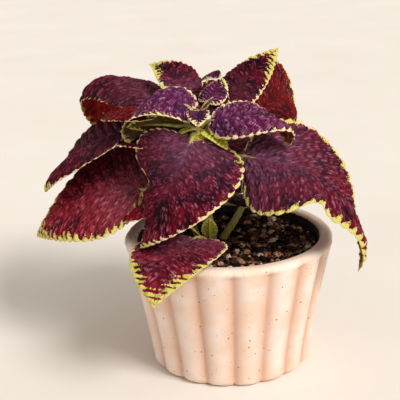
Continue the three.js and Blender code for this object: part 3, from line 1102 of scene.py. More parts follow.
@dataclass
class Stem:
    """A square stem along a smooth curve, tapering to its tip.

    joints are the heights where petioles leave it, noted as the leaves are set on it.
    """

    name: str
    points: tuple[Point, ...]
    base_radius: float
    tip_radius: float
    clearance: float = 0.35
    corner: float = 0.1
    swelling: float = 0.22
    joints: list[float] = field(default_factory=list)
    joint_reach: float = 2.2
    tip_share: float = 0.02
    girth: float = 0.96
    rings: int = 150
    sides: int = 28
    readings: int = 4001

    def place(self, share: Array) -> Array:
        """Works out points on the curve.

        Args:
            share: Places along it, from 0 at its foot to 1 at its tip.

        Returns:
            The points.
        """
        corners = np.array(self.points, float)
        before_first, past_last = 2 * corners[:1] - corners[1:2], 2 * corners[-1:] - corners[-2:-1]
        padded = np.concatenate([before_first, corners, past_last])
        spans = len(corners) - 1
        position = np.clip(np.asarray(share, float), 0, 1) * spans
        index = np.minimum(position.astype(int), spans - 1)
        t = (position - index)[..., None]
        before, start, end, after = (padded[index + offset] for offset in range(4))
        leave, arrive = (end - before) / 2, (after - start) / 2
        bend = 3 * (end - start) - 2 * leave - arrive
        return start + leave * t + bend * t**2 + (2 * (start - end) + leave + arrive) * t**3

    def tangent(self, share: Array) -> Array:
        """Directions of the curve."""
        step = 1e-4
        return unit(self.place(np.minimum(share + step, 1)) - self.place(np.maximum(share - step, 0)))

    def radius_at(self, z: Array) -> Array:
        """The stem's radius at a height."""
        foot, tip = self.points[0][2], self.points[-1][2]
        return self.base_radius + (self.tip_radius - self.base_radius) * (z - foot) / (tip - foot)

    def joint_at(self, z: float, direction: Array, petiole_radius: float) -> Array:
        """Finds where a petiole leaves the stem, and notes the joint.

        Args:
            z: Height on the stem.
            direction: The petiole's heading there.
            petiole_radius: The petiole's radius.

        Returns:
            The petiole's start, just outside the stem's skin.
        """
        self.joints.append(z)
        shares = np.linspace(0, 1, self.readings)
        share = float(np.interp(z, self.place(shares)[:, 2], shares))
        tangent = self.tangent(np.array(share))
        outward = unit(direction - tangent * np.dot(direction, tangent))
        tilt = math.sqrt(max(0.0, 1 - float(np.dot(outward, direction)) ** 2))
        reach = float(self.radius_at(z)) + self.clearance + petiole_radius * tilt
        return self.place(np.array(share)) + outward * reach

    def build(self, material: bpy.types.Material) -> bpy.types.Object:
        """Builds the stem: square with soft corners, swollen at its joints, with a rounded tip.

        Args:
            material: The stem's skin.

        Returns:
            The stem.
        """
        share = np.linspace(0, 1, self.rings)
        centre, along = self.place(share), self.tangent(share)
        side = unit(np.cross([0.0, 1.0, 0.0], along))
        near_joint = np.zeros(len(share))
        for z in self.joints:
            near_joint = np.maximum(near_joint, hump(centre[:, 2] - z, self.joint_reach))
        tip = np.sqrt(np.clip((1 - share) / self.tip_share, 0.02, 1))
        angle = round_angles(self.sides)
        square = self.girth - self.corner * np.cos(4 * angle)
        radius = self.radius_at(centre[:, 2]) * (1 + self.swelling * near_joint) * tip
        ring = spokes(side, np.cross(along, side), angle) * (radius[:, None] * square)[..., None]
        draft = Draft()
        draft.tube(centre, ring, {"joint": near_joint[:, None]})
        return seat(draft.build(f"{self.name}_skin", material), self.name)


# ---------------------------------------------------------------- leaves


@dataclass(frozen=True)
class Margin:
    """Width of a leaf's pale margin in millimetres.

    left and right, seen from the leaf's base, each give the width near the base and past the middle, and
    tip gives the width at the tip.
    """

    left: tuple[float, float] = (0.5, 1.2)
    right: tuple[float, float] = (0.5, 1.2)
    tip: float = 2.5

    @classmethod
    def even(cls, base: float, middle: float, tip: float) -> "Margin":
        """A margin that is the same on both sides."""
        return cls((base, middle), (base, middle), tip)

    def width(self, left_side: Array, share: Array) -> Array:
        """Works out the width along the edge.

        Args:
            left_side: Whether the edge is the left one.
            share: Where along the leaf it lies, from 0 at the base to 1 at the tip.

        Returns:
            The widths.
        """
        stops = (0.0, 0.2, 0.65, 0.96)
        left = np.interp(share, stops, (self.left[0], *self.left, self.tip))
        right = np.interp(share, stops, (self.right[0], *self.right, self.tip))
        return np.where(left_side, left, right)


@dataclass(frozen=True)
class Dip:
    """A crease across a leaf's edge.

    left tells the side, share where it lies along the leaf, reach how far it spreads as a share of the
    length, depth how far the edge bends down there and draw how far it is drawn in, in millimetres.
    """

    left: bool
    share: float
    reach: float
    depth: float
    draw: float

    def place(self, share: Array, across: Array) -> Array:
        """How much of the crease there is at each place, from 0 to 1."""
        return hump(share - self.share, self.reach) * ((across > 0) == self.left)


@dataclass
class Leaf:
    """One leaf: where it leaves its stem, how its petiole and blade bend, and how it is quilted.

    Heights and lengths are millimetres, angles degrees. rise is the petiole's slope at the stem, pitch
    the blade's slope at its base, droop how far the blade bends down from there to its tip, and
    bend_power how late it does so. turn swings the blade sideways, fold is the V of each half at the
    midrib, camber how far each half curves down from there to its edge, and roll and twist tilt the blade
    about its midrib. lobes tells how far its base reaches back, taper how drawn out its tip is, and
    coarseness how coarsely it is divided. added marks a leaf that stands for no solid. The depths of
    furrows, midrib, swelling and quilting are shares of a blister, those of notches and frill shares of a
    scallop.
    """

    name: str
    stem: str
    height: float
    azimuth: float
    petiole: float
    rise: float
    pitch: float
    droop: float
    length: float
    width: float
    turn: float = 0
    bend_power: float = 1.2
    fold: float = 10
    camber: tuple[float, float] = (35, 35)
    roll: float = 0
    twist: float = 0
    lobes: float = 4
    taper: float = 0.8
    petiole_radius: float = 1.3
    margin: Margin = Margin()
    kind: LeafKind = LeafKind.PLUM
    dips: tuple[Dip, ...] = ()
    slot: str = "leaf"
    added: bool = False
    seed: int = 1
    thickness: float = 0.45
    row_step: float = 0.47
    column_step: float = 0.68
    coarseness: float = 1.0
    base_fullness: float = 0.52
    lobe_reach: float = 2.2
    quilt_depth: float = 0.5
    least_rows: int = 24
    least_columns: int = 8
    spine_steps: int = 600
    petiole_rings: int = 22
    midrib_rings: int = 44
    midrib_span: tuple[float, float] = (0.015, 0.95)
    midrib_tip: float = 0.12
    petiole_sides: int = 12
    channel: float = 0.22
    root_depth: float = 1.6
    vein_sweep: float = 0.75
    blister_stretch: float = 3.4
    blister_jitter: float = 0.9
    furrow_depth: float = 0.3
    midrib_depth: float = 0.26
    swell_height: float = 0.6
    notch_depth: float = 0.27
    notch_variety: float = 0.08
    notch_wander: float = 0.35
    notch_limit: float = 0.27
    frill_depth: float = 0.16
    waviness: float = 0.012

    @property
    def blister(self) -> float:
        """Width of one blister between the fine veins."""
        return 0.5 + 0.012 * self.length

    @property
    def laterals(self) -> int:
        """How many side veins each half has."""
        return round(7 + self.length / 25)

    @property
    def tooth(self) -> float:
        """Length of one scallop of the edge."""
        return 1.3 + 0.048 * self.length

    def half_width(self, share: Array) -> Array:
        """Works out half the blade's width: rounded at the base, drawn out to the tip.

        Args:
            share: Places along it, from 0 at its base to 1 at its tip.

        Returns:
            Half the widths.
        """
        widest = self.base_fullness / (self.base_fullness + self.taper)
        full = widest**self.base_fullness * (1 - widest) ** self.taper
        shape = np.clip(share, 0, 1) ** self.base_fullness * np.clip(1 - share, 0, 1) ** self.taper
        return self.width / 2 * shape / full

    def curve(self, start: Array, length: float, turns: Array, slopes: Array) -> Array:
        """Adds up headings into a curve of a given length.

        Args:
            start: Its first point.
            length: Its length.
            turns: Azimuths at the middle of each step.
            slopes: Elevations at the middle of each step.

        Returns:
            The points, one more than there are steps.
        """
        steps = heading(turns, slopes) * length / len(turns)
        return np.concatenate([start[None], start + np.cumsum(steps, axis=0)])

    def spine(self) -> tuple[Array, Array]:
        """Lays out the petiole and the midrib, finely divided.

        Returns:
            The points of the petiole and those of the midrib, in the leaf's own frame.
        """
        middle = (np.arange(self.spine_steps) + 0.5) / self.spine_steps
        slopes = self.rise + (self.pitch - self.rise) * middle
        petiole = self.curve(np.zeros(3), self.petiole, 0 * middle, slopes)
        slopes = self.pitch - self.droop * middle**self.bend_power
        return petiole, self.curve(petiole[-1], self.length, self.turn * middle, slopes)

    def along_midrib(self, midrib: Array, share: Array) -> tuple[Array, Array, Array, Array]:
        """Reads the midrib at shares of its length.

        Args:
            midrib: Its finely divided points.
            share: Places on it, from 0 at the base to 1 at the tip.

        Returns:
            Points, and the directions along the midrib, to the left side and up.
        """
        fine = np.linspace(0, 1, len(midrib))
        point = np.stack([np.interp(share, fine, midrib[:, axis]) for axis in range(3)], -1)
        azimuth = self.turn * share
        along = heading(azimuth, self.pitch - self.droop * share**self.bend_power)
        level = heading(azimuth + 90, 0 * azimuth)
        tilt = np.radians(self.roll + self.twist * share)[..., None]
        side = tilted(level, along, tilt)
        return point, along, side, np.cross(along, side)

    def set_back(self, share: Array, reach: Array) -> Array:
        """How far the lobes of the base reach back past the petiole."""
        return self.lobe_reach * self.lobes * (1 - share) ** 2 * np.sqrt(share) * reach**1.5

    def scalloped(self, share: Array, across: Array) -> tuple[Array, Array]:
        """Cuts the scallops into the edge.

        Args:
            share: Rows' shares of the blade's length, as a column.
            across: Places from -1, the right edge, to 1, the left edge.

        Returns:
            The places drawn in at the notches, and each place's nearness to a scallop's crest.
        """
        wander = Ripple(self.seed + 100)
        half = self.half_width(share)
        crest = np.zeros(across.shape)
        drawn = across.copy()
        for sign in (-1, 1):
            place = share * self.length - self.set_back(share, np.ones(1))
            steps = np.diff(np.concatenate([place, sign * half], 1), axis=0)
            arc = np.concatenate([[0], np.cumsum(np.linalg.norm(steps, axis=1))])
            drift = wander.at(arc / (2.5 * self.tooth), 0 * arc + 5 * sign)
            phase = arc / self.tooth + self.notch_wander * drift
            bulge = np.sin(math.pi * (phase % 1) ** 1.2) ** 0.55
            variety = self.notch_variety * wander.at(phase * 0.7, 0 * arc + 9 * sign)
            depth = self.tooth * (self.notch_depth + variety)
            inset = np.minimum(depth * (1 - bulge), self.notch_limit * half[:, 0])
            own_side = np.sign(across) == sign
            part = own_side * ease(0.55, 1.0, np.abs(across))
            drawn = drawn - sign * part * (inset / np.maximum(half[:, 0], 1e-3))[:, None]
            crest = np.where(own_side, bulge[:, None], crest)
        for dip in self.dips:
            drawn = drawn * (1 - dip.draw / np.maximum(half, 1.0) * dip.place(share, across))
        return drawn, crest

    def from_edge(self, flat: Array, share: Array) -> tuple[Array, Array]:
        """Measures the distance of every place of the flattened blade from its edge.

        Args:
            flat: The flattened places, row by row.
            share: The rows' shares of the blade's length.

        Returns:
            The distances, and the share of the length where the nearest edge lies.
        """
        rows, columns = flat.shape[:2]
        distance, nearest = np.zeros((rows, columns)), np.zeros((rows, columns))
        for column in range(columns):
            edge = flat[:, 0] if column < columns // 2 else flat[:, -1]
            gaps = np.linalg.norm(flat[:, column, None] - edge[None], axis=-1)
            pick = gaps.argmin(axis=1)
            distance[:, column] = gaps[np.arange(rows), pick]
            nearest[:, column] = share[pick, 0]
        return distance, nearest

    def quilting(self, share: Array, drawn: Array, half: Array, edge: Array) -> dict[str, Array]:
        """Works out veins and blisters.

        Args:
            share: Rows' shares of the blade's length, as a column.
            drawn: Places from -1 to 1 across the blade.
            half: Half the blade's width, as a column.
            edge: Distance from the edge.

        Returns:
            The height of the quilting in millimetres, its relief from 0 to 1, the veins and the fraying
            of the margin.
        """
        reach, side = np.abs(drawn), np.where(drawn < 0, -1, 1)
        off_midrib = reach * half
        sweep = self.vein_sweep * self.width / 2 / self.length
        order = share - sweep * reach**0.9 * (1 - 0.5 * share) + 0.04 * (side < 0)
        warp = Ripple(self.seed)
        u = order * self.length / self.blister + 40 * side
        v = off_midrib / (self.blister_stretch * self.blister)
        u = u + 0.6 * warp.at(u * 0.35, v * 0.5)
        v = v + 0.45 * warp.at(u * 0.4 + 30, v * 0.6)
        domes = Blisters(self.seed, self.blister_jitter).domes(u, v)
        relief = np.sin(np.minimum(domes / 0.6, 1) * math.pi / 2)
        lateral = order * self.laterals
        gap = np.abs(lateral - np.round(lateral)) * self.length / self.laterals
        furrow = hump(gap, 0.16 * self.blister + 0.25)
        swell = np.minimum(gap / (self.length / self.laterals / 2), 1)
        midrib = hump(off_midrib, 0.5 + 0.006 * self.length) * (1 - share) ** 0.3
        inner = ease(0, 2.4 * self.blister, off_midrib) * 0.7 + 0.3
        outer = ease(0, 1.6 * self.blister, edge) * 0.65 + 0.35
        ends = ease(0, 0.04, share) * ease(0, 0.04, 1 - share)
        height = self.quilt_depth * self.blister * (relief - 0.7)
        height = height + self.swell_height * self.blister * (swell - 0.6)
        height = height - self.furrow_depth * self.blister * furrow
        height = height * inner * outer - self.midrib_depth * self.blister * midrib
        return {
            "height": height * ends,
            "relief": relief * (1 - 0.7 * furrow) * (1 - 0.5 * midrib),
            "vein": np.maximum(midrib, 0.55 * furrow),
            "fray": warp.layered(u * 0.8 + 11, v * 0.7 + 5, 2),
        }

    def bent(self, midrib: Array, share: Array, drawn: Array) -> tuple[Array, Array]:
        """Bends the flat blade along the midrib, folded and cambered.

        Args:
            midrib: The midrib's finely divided points.
            share: Rows' shares of the blade's length, as a column.
            drawn: Places from -1 to 1 across the blade.

        Returns:
            Points in the middle of the blade's thickness, and the directions up from it there.
        """
        point, along, side, up = self.along_midrib(midrib, share[:, 0])
        half, reach = self.half_width(share), np.abs(drawn)
        fold = math.radians(self.fold)
        left, right = (math.radians(value) or 1e-3 for value in self.camber)
        camber = np.where(drawn > 0, left, right)
        slope = fold - camber * reach
        out = half * (math.sin(fold) - np.sin(slope)) / camber * np.sign(drawn)
        lift = half * (np.cos(slope) - math.cos(fold)) / camber
        back = self.set_back(share, reach)
        points = (
            point[:, None]
            + side[:, None] * out[..., None]
            + up[:, None] * lift[..., None]
            - along[:, None] * back[..., None]
        )
        lean = (np.sign(drawn) * slope)[..., None]
        return points, up[:, None] * np.cos(lean) - side[:, None] * np.sin(lean)

    @staticmethod
    def shell(shape: tuple[int, int]) -> list[Array]:
        """Closes a blade between its base and its tip, which are one point each on either side.

        Args:
            shape: How many points the upper side has, along the blade and across it.

        Returns:
            The faces of the upper side, the underside and the edge between them.
        """
        index = np.arange(shape[0] * shape[1]).reshape(shape)
        index[0], index[-1] = index[0, 0], index[-1, 0]
        below = index + index.size
        left = np.stack([below[:, -1], index[:, -1]], -1)
        right = np.stack([index[:, 0], below[:, 0]], -1)
        backs = [grid_faces(side)[:, ::-1] for side in (below, right, left)]
        return [grid_faces(index), *backs]

    def blade(self, draft: Draft, midrib: Array) -> None:
        """Adds the blade, upper side and underside.

        Args:
            draft: The mesh that it goes into.
            midrib: The midrib's finely divided points.
        """
        rows = max(int(self.length / self.row_step / self.coarseness), self.least_rows)
        columns = max(int(self.width / 2 / self.column_step / self.coarseness), self.least_columns)
        even = np.linspace(0, 1, rows + 1)[:, None]
        share = (even + (1 - np.cos(math.pi * even)) / 2) / 2
        across = np.tile(np.linspace(-1, 1, 2 * columns + 1), (rows + 1, 1))
        drawn, crest = self.scalloped(share, across)
        half, reach = self.half_width(share), np.abs(drawn)
        flat = np.stack([share * self.length - self.set_back(share, reach), drawn * half], -1)
        edge, edge_share = self.from_edge(flat, share)
        quilt = self.quilting(share, drawn, half, edge)
        points, normal = self.bent(midrib, share, drawn)

        swell = Ripple(self.seed + 50)
        wave = swell.layered(share * self.length / 14, np.sign(drawn) * 7 + reach * 0.6, 2)
        frill = (crest - 0.5) * ease(2.0 * self.tooth, 0, edge) * self.frill_depth * self.tooth
        ends = ease(0, 0.06, share) * ease(0, 0.06, 1 - share)
        waves = self.waviness * self.width * wave * reach**2
        height = quilt["height"] + (waves + frill) * ends
        for dip in self.dips:
            height = height - dip.depth * dip.place(share, across) * ease(0.3, 1, reach)
        thickness = (self.thickness * (0.55 + 0.45 * ease(0, 1.2, edge)))[..., None]
        upper = points + normal * (height[..., None] + thickness / 2)
        lower = points + normal * (height[..., None] - thickness / 2)

        lime = self.margin.width(drawn > 0, edge_share)
        lime = lime * (1 + 0.35 * swell.at(edge_share * self.length / 5, 3 * np.sign(drawn)))
        scalloped = lime * (0.15 + 1.15 * crest**2)
        rim = (edge + 0.35 * quilt["fray"]) / np.maximum(scalloped, 0.05) + 0.2 * quilt["fray"]
        near_base = hump(np.linalg.norm(flat, axis=-1), 0.36 * self.length)
        values = {
            "rim": np.clip(rim, -1, 4),
            "lime": ease(0.9, 2.2, lime),
            "relief": quilt["relief"],
            "vein": quilt["vein"],
            # Where the painted sheen lies: near the base, stronger on the veins.
            "painted_sheen": near_base * (0.5 + 0.5 * quilt["vein"]),
            "along": share + 0 * drawn,
            "stalk": 0 * drawn,
        }
        both = {key: np.stack([value, value]) for key, value in values.items()}
        both["under"] = np.stack([0 * drawn, 1 + 0 * drawn])
        draft.add(np.stack([upper, lower]), self.shell(drawn.shape), both)

    def stalk(self, draft: Draft, petiole: Array, midrib: Array) -> None:
        """Adds the petiole, which starts inside its stem and runs on as the midrib under the blade.

        Args:
            draft: The mesh that it goes into.
            petiole: The petiole's finely divided points.
            midrib: The midrib's finely divided points.
        """
        start = np.linspace(0, 1, self.petiole_rings)
        index = (start * (len(petiole) - 1)).astype(int)
        slope = np.radians(self.rise + (self.pitch - self.rise) * start)
        along = np.stack([np.cos(slope), 0 * slope, np.sin(slope)], -1)
        root = petiole[0] - along[0] * self.root_depth
        share = np.linspace(*self.midrib_span, self.midrib_rings)
        point, _, side, up = self.along_midrib(midrib, share)
        level = np.broadcast_to([0.0, 1.0, 0.0], along.shape)
        tilt = np.radians(self.roll * start**2)[:, None]
        first_side = tilted(level, along, tilt)
        first_up = np.cross(along, first_side)
        sides = np.concatenate([first_side[:1], first_side, side])
        ups = np.concatenate([first_up[:1], first_up, up])
        radius = self.petiole_radius * np.concatenate([[1.1], 1.15 - 0.3 * np.sqrt(start)])
        thin = self.midrib_tip + (self.petiole_radius * 0.8 - self.midrib_tip) * (1 - share) ** 0.9
        sink = (0.15 + 0.22 * self.blister + 0.75 * thin) * ease(0, 0.09, share)
        centres = np.concatenate([root[None], petiole[index], point - up * sink[:, None]])
        radius = np.concatenate([radius, thin])
        angle = round_angles(self.petiole_sides)
        channel = 1 - self.channel * np.maximum(np.sin(angle), 0) ** 6
        ring = spokes(sides, ups, angle) * (radius[:, None] * channel)[..., None]
        green = np.concatenate([np.ones(len(start) + 1), 1 - ease(0.25, 0.8, share)])[:, None]
        values = {
            "rim": 4.0, "lime": 0.0, "relief": 0.6, "vein": 1.0, "painted_sheen": 0.0,
            "along": 0.0, "stalk": green, "under": 1.0,
        }
        draft.tube(centres, ring, values)

    def build(self, stem: Stem, materials: dict[LeafKind, bpy.types.Material]) -> bpy.types.Object:
        """Builds the leaf and sets it on its stem.

        Args:
            stem: The stem that it grows from.
            materials: The material of each kind of leaf.

        Returns:
            The leaf.
        """
        petiole, midrib = self.spine()
        draft = Draft()
        self.blade(draft, midrib)
        self.stalk(draft, petiole, midrib)
        direction = heading(self.azimuth, self.rise)
        start = stem.joint_at(self.height, direction, self.petiole_radius)
        rotation = np.array(Matrix.Rotation(math.radians(self.azimuth), 3, "Z"))
        draft.points = [points @ rotation.T + start for points in draft.points]
        piece = draft.build(f"{self.name}_foliage", materials[self.kind])
        return seat(piece, None if self.added else self.name)


# ---------------------------------------------------------------- plant


BUD_EDGE = Margin.even(0.5, 0.6, 0.9)


def small(name: str, **sizes: object) -> Leaf:
    """A young leaf of the crown, finely divided.

    Args:
        name: The leaf's name.
        **sizes: Its own values, which come before the usual ones.

    Returns:
        The leaf.
    """
    usual = {
        "stem": "main_stem", "petiole_radius": 0.8, "kind": LeafKind.VIOLET, "slot": "young_leaf",
        "margin": Margin.even(0.8, 1.0, 1.4), "coarseness": 0.5,
    }
    return Leaf(name, **{**usual, **sizes})


def sprout(name: str, **sizes: object) -> Leaf:
    """A lime leaf of the young shoots at the foot."""
    return small(name, **{"kind": LeafKind.LIME, "slot": "sprout", **sizes})


def rear(name: str, stem: str, **sizes: object) -> Leaf:
    """A leaf of the back, a little more coarsely divided."""
    return Leaf(name, stem, coarseness=1.15, **sizes)


def shaded(name: str, **sizes: object) -> Leaf:
    """A leaf deep in the plant, thinly edged, with painted shade in its colours."""
    usual = {"kind": LeafKind.SHADED, "margin": Margin.even(0.2, 0.35, 0.9), "coarseness": 1.5}
    return Leaf(name, "main_stem", **{**usual, **sizes})


@dataclass
class Coleus:
    """The plant: its stems and leaves."""

    skin: StemSkin = StemSkin()

    def stems(self) -> dict[str, Stem]:
        """The upright stem and its two side shoots.

        Returns:
            The stems by name.
        """
        main = ((-8, -3, 46), (-9, -3, 62), (-12, -3, 90), (-13.5, -1, 112), (-14, 0, 137))
        right = ((-7, 3, 48), (-4, 4, 62), (7, 5, 80), (14, 11, 98), (14, 18, 116), (10, 22, 132))
        left = ((-13, 3, 48), (-16, 5, 64), (-22, 9, 80), (-28, 13, 96), (-31, 16, 106))
        return {
            "main_stem": Stem("main_stem", main, 3.4, 1.6),
            "right_shoot": Stem("right_shoot", right, 2.2, 1.3),
            "left_shoot": Stem("left_shoot", left, 2.2, 1.3),
        }

    def crown(self) -> list[Leaf]:
        """The youngest leaves, violet with cream edges, and the pair below them.

        Returns:
            The leaves.
        """
        return [
            small(
                "crown_leaf_back", height=135, azimuth=48, petiole=6, rise=55, pitch=40, droop=16,
                length=18, width=17, turn=10, bend_power=1, camber=(55, 55), roll=10, lobes=3,
                margin=Margin.even(1.0, 1.0, 1.8), seed=2,
            ),
            small(
                "crown_leaf_front", height=136, azimuth=-90, petiole=2, rise=35, pitch=5, droop=50,
                length=15, width=12, bend_power=1, fold=15, seed=3,
            ),
            small(
                "crown_leaf_rear", height=129, azimuth=77, petiole=30, rise=47, pitch=31, droop=44,
                length=10, width=16, turn=-60, bend_power=1.3, fold=1, camber=(33, 45), roll=-16,
                twist=-8, taper=0.6, lobes=2, seed=4,
            ),
            Leaf(
                "upper_leaf_left", "main_stem", height=136, azimuth=186, petiole=2, rise=58, pitch=49,
                droop=165, length=53, width=30, turn=-67, bend_power=1.0, fold=0, camber=(24, 48),
                roll=-42, twist=39, taper=0.5, lobes=15, petiole_radius=1.1, kind=LeafKind.VIOLET,
                margin=Margin.even(1.3, 1.6, 2.2), slot="young_leaf", seed=5,
            ),
            Leaf(
                "upper_leaf_right", "main_stem", height=129, azimuth=-37, petiole=5, rise=46, pitch=14,
                droop=130, length=55, width=29, turn=87, bend_power=2.6, camber=(10, 79), roll=32,
                twist=-50, petiole_radius=1.1, kind=LeafKind.ROLLED,
                margin=Margin((1.3, 1.5), (1.3, 1.2), 1.1), slot="young_leaf", seed=6,
            ),
        ]

    def front(self) -> list[Leaf]:
        """The large leaves on the front and at the sides.

        Returns:
            The leaves.
        """
        return [
            Leaf(
                "front_leaf", "main_stem", height=123, azimuth=-113, petiole=7, rise=41, pitch=-31,
                droop=28, length=62, width=67, turn=-51, bend_power=0.4, camber=(50, 31), roll=-17,
                twist=33, lobes=14, margin=Margin((1.7, 0.9), (0.9, 2.0), 1.8),
                dips=(Dip(False, 0.52, 0.075, 7, 9),), seed=7,
            ),
            Leaf(
                "right_leaf", "main_stem", height=109, azimuth=-20, petiole=20, rise=28, pitch=-2,
                droop=109, length=98, width=75, turn=-4, bend_power=1.6, fold=8, camber=(-9, 66),
                roll=24, twist=-73, taper=1.2, lobes=0, margin=Margin((1.5, 2.6), (1.7, 2.6), 2.8),
                dips=(Dip(False, 0.5, 0.07, 3, 10.5),), seed=8,
            ),
            Leaf(
                "left_leaf_high", "main_stem", height=116, azimuth=135, petiole=34, rise=41, pitch=30,
                droop=132, length=91, width=46, turn=-28, bend_power=1.5, fold=4, camber=(101, 11),
                roll=18, twist=-6, taper=0.6, lobes=6, margin=Margin((0.15, 0.3), (0.2, 0.5), 3.0),
                kind=LeafKind.SUNLIT, seed=9,
            ),
            Leaf(
                "left_leaf_middle", "left_shoot", height=106, azimuth=162, petiole=29, rise=78,
                pitch=-13, droop=40, length=72, width=53, turn=-27, bend_power=0.9, fold=22,
                camber=(73, 9), roll=-3, twist=-13, taper=0.7, lobes=0,
                margin=Margin((0.2, 0.8), (0.3, 0.9), 6.0), kind=LeafKind.SHADE_DARKENED, seed=10,
            ),
            Leaf(
                "left_leaf_low", "main_stem", height=89, azimuth=163, petiole=29, rise=7, pitch=8,
                droop=63, length=82, width=69, turn=-11, bend_power=0.9, camber=(38, 18), roll=-27,
                twist=1, taper=0.9, lobes=6,
                margin=Margin((2.0, 2.6), (1.2, 2.0), 6.0), kind=LeafKind.CRIMSON, seed=11,
            ),
            Leaf(
                "rim_leaf", "main_stem", height=67, azimuth=-120, petiole=15, rise=50, pitch=5, droop=68,
                length=58, width=49, turn=15, bend_power=2, camber=(5, 40), roll=-5, twist=-5, taper=1,
                lobes=6, margin=Margin((0.7, 2.4), (1.0, 2.0), 4.4), kind=LeafKind.MAUVE, seed=12,
            ),
        ]

    def back(self) -> list[Leaf]:
        """The leaves behind the crown and on the back.

        Returns:
            The leaves.
        """
        return [
            Leaf(
                "rear_leaf_right_high", "main_stem", height=122, azimuth=38, petiole=14, rise=65,
                pitch=39, droop=18, length=54, width=29, turn=5, camber=(35, 30), roll=10, twist=15,
                taper=1, lobes=10, margin=Margin((0.25, 0.4), (0.8, 1.6), 4.0), kind=LeafKind.SHADE_DARKENED,
                seed=13,
            ),
            Leaf(
                "rear_leaf_left_high", "main_stem", height=127, azimuth=108, petiole=16, rise=56,
                pitch=34, droop=37, length=45, width=23, turn=26, bend_power=1.3, fold=16,
                camber=(13, -8), roll=-4, twist=-20, taper=1.1, lobes=3,
                margin=Margin((1.4, 2.2), (0.2, 0.4), 3.0), seed=14,
            ),
            Leaf(
                "rear_leaf_right_drooping", "right_shoot", height=120, azimuth=48, petiole=8, rise=70,
                pitch=55, droop=153, length=54, width=43, turn=15, bend_power=1, fold=15,
                camber=(-10, 50), roll=35, twist=20, margin=Margin.even(1.2, 1.6, 2.2),
                kind=LeafKind.SCARLET, seed=15,
            ),
            rear(
                "rear_leaf_top", "right_shoot", height=129, azimuth=105, petiole=6, rise=55, pitch=45,
                droop=115, length=46, width=34, seed=16,
            ),
            rear(
                "rear_leaf_right_low", "right_shoot", height=94, azimuth=45, petiole=20, rise=45,
                pitch=14, droop=65, length=48, width=40, seed=17,
            ),
            rear(
                "rear_leaf_middle", "main_stem", height=104, azimuth=90, petiole=20, rise=45, pitch=25,
                droop=95, length=60, width=46, seed=18,
            ),
            rear(
                "rear_leaf_left_low", "left_shoot", height=88, azimuth=115, petiole=14, rise=30,
                pitch=10, droop=70, length=60, width=44, seed=19,
            ),
            rear(
                "rear_leaf_low", "main_stem", height=78, azimuth=80, petiole=20, rise=40, pitch=5,
                droop=60, length=52, width=40, seed=20,
            ),
            small(
                "rear_leaf_small", stem="left_shoot", height=104, azimuth=109, petiole=8, rise=48,
                pitch=31, droop=35, length=24, width=21, turn=30, coarseness=0.8, seed=21,
            ),
        ]

    def sprouts(self) -> list[Leaf]:
        """The lime sprouts at the foot.

        Returns:
            The leaves.
        """
        return [
            sprout(
                "sprout_tall", height=69, azimuth=-98, petiole=2, rise=46, pitch=75, droop=-8, length=11,
                width=9, turn=14, fold=25, lobes=2, seed=22,
            ),
            sprout(
                "sprout_short", height=67, azimuth=-158, petiole=3, rise=59, pitch=55, droop=16,
                length=9, width=7, turn=-14, fold=20, lobes=1, seed=23,
            ),
        ]

    def infill(self) -> list[Leaf]:
        """Buds, young leaves in the axils and shaded leaves deep in the plant, all added ones.

        Returns:
            The leaves.
        """
        leaves = [
            small(
                "bud_left", height=135, azimuth=176, petiole=1, rise=60, pitch=50, droop=20, length=8,
                width=5.5, fold=30, margin=BUD_EDGE, seed=31,
            ),
            small(
                "bud_right", height=136, azimuth=-20, petiole=1.5, rise=55, pitch=50, droop=0, length=8,
                width=5, fold=40, margin=BUD_EDGE, seed=32,
            ),
            sprout(
                "axil_leaf_left", height=127, azimuth=-150, petiole=1.5, rise=20, pitch=10, droop=60,
                length=9, width=7, seed=33,
            ),
            sprout(
                "axil_leaf_front", height=125, azimuth=-100, petiole=1.5, rise=10, pitch=-20, droop=50,
                length=10, width=8, seed=34,
            ),
            sprout(
                "axil_leaf_right", height=126, azimuth=-45, petiole=3, rise=10, pitch=-5, droop=50,
                length=17, width=11, seed=35,
            ),
            shaded(
                "shaded_leaf_left", height=127, azimuth=175, petiole=5, rise=25, pitch=10, droop=25,
                length=30, width=16, roll=50, margin=Margin.even(0.6, 0.9, 1.5), seed=36,
            ),
            shaded(
                "shaded_leaf_crown", height=130, azimuth=70, petiole=4, rise=60, pitch=52, droop=40,
                length=25, width=26, seed=42,
            ),
            shaded(
                "shaded_leaf_rear", height=125, azimuth=151, petiole=18, rise=52, pitch=12, droop=50,
                length=42, width=48, kind=LeafKind.SCARLET, seed=37,
            ),
            shaded(
                "shaded_leaf_rear_left", height=116, azimuth=152, petiole=12, rise=20, pitch=10,
                droop=40, length=38, width=34, seed=38,
            ),
            shaded(
                "shaded_leaf_right", height=113, azimuth=25, petiole=8, rise=22, pitch=8, droop=25,
                length=36, width=38, kind=LeafKind.CRIMSON, seed=39,
            ),
            shaded(
                "shaded_leaf_right_low", height=84, azimuth=30, petiole=10, rise=20, pitch=0, droop=40,
                length=34, width=28, seed=40,
            ),
            shaded(
                "shaded_leaf_left_low", height=90, azimuth=180, petiole=16, rise=10, pitch=-5, droop=40,
                length=30, width=36, kind=LeafKind.CRIMSON, seed=41,
            ),
        ]
        return [replace(leaf, added=True) for leaf in leaves]

    def build(self) -> None:
        """Builds every leaf on its stem, then the stems with their joints."""
        materials = {kind: kind.value.material() for kind in LeafKind}
        stems = self.stems()
        for leaf in self.crown() + self.front() + self.back() + self.sprouts() + self.infill():
            leaf.build(stems[leaf.stem], materials)
        skin = self.skin.material()
        for stem in stems.values():
            stem.build(skin)


# ---------------------------------------------------------------- studio


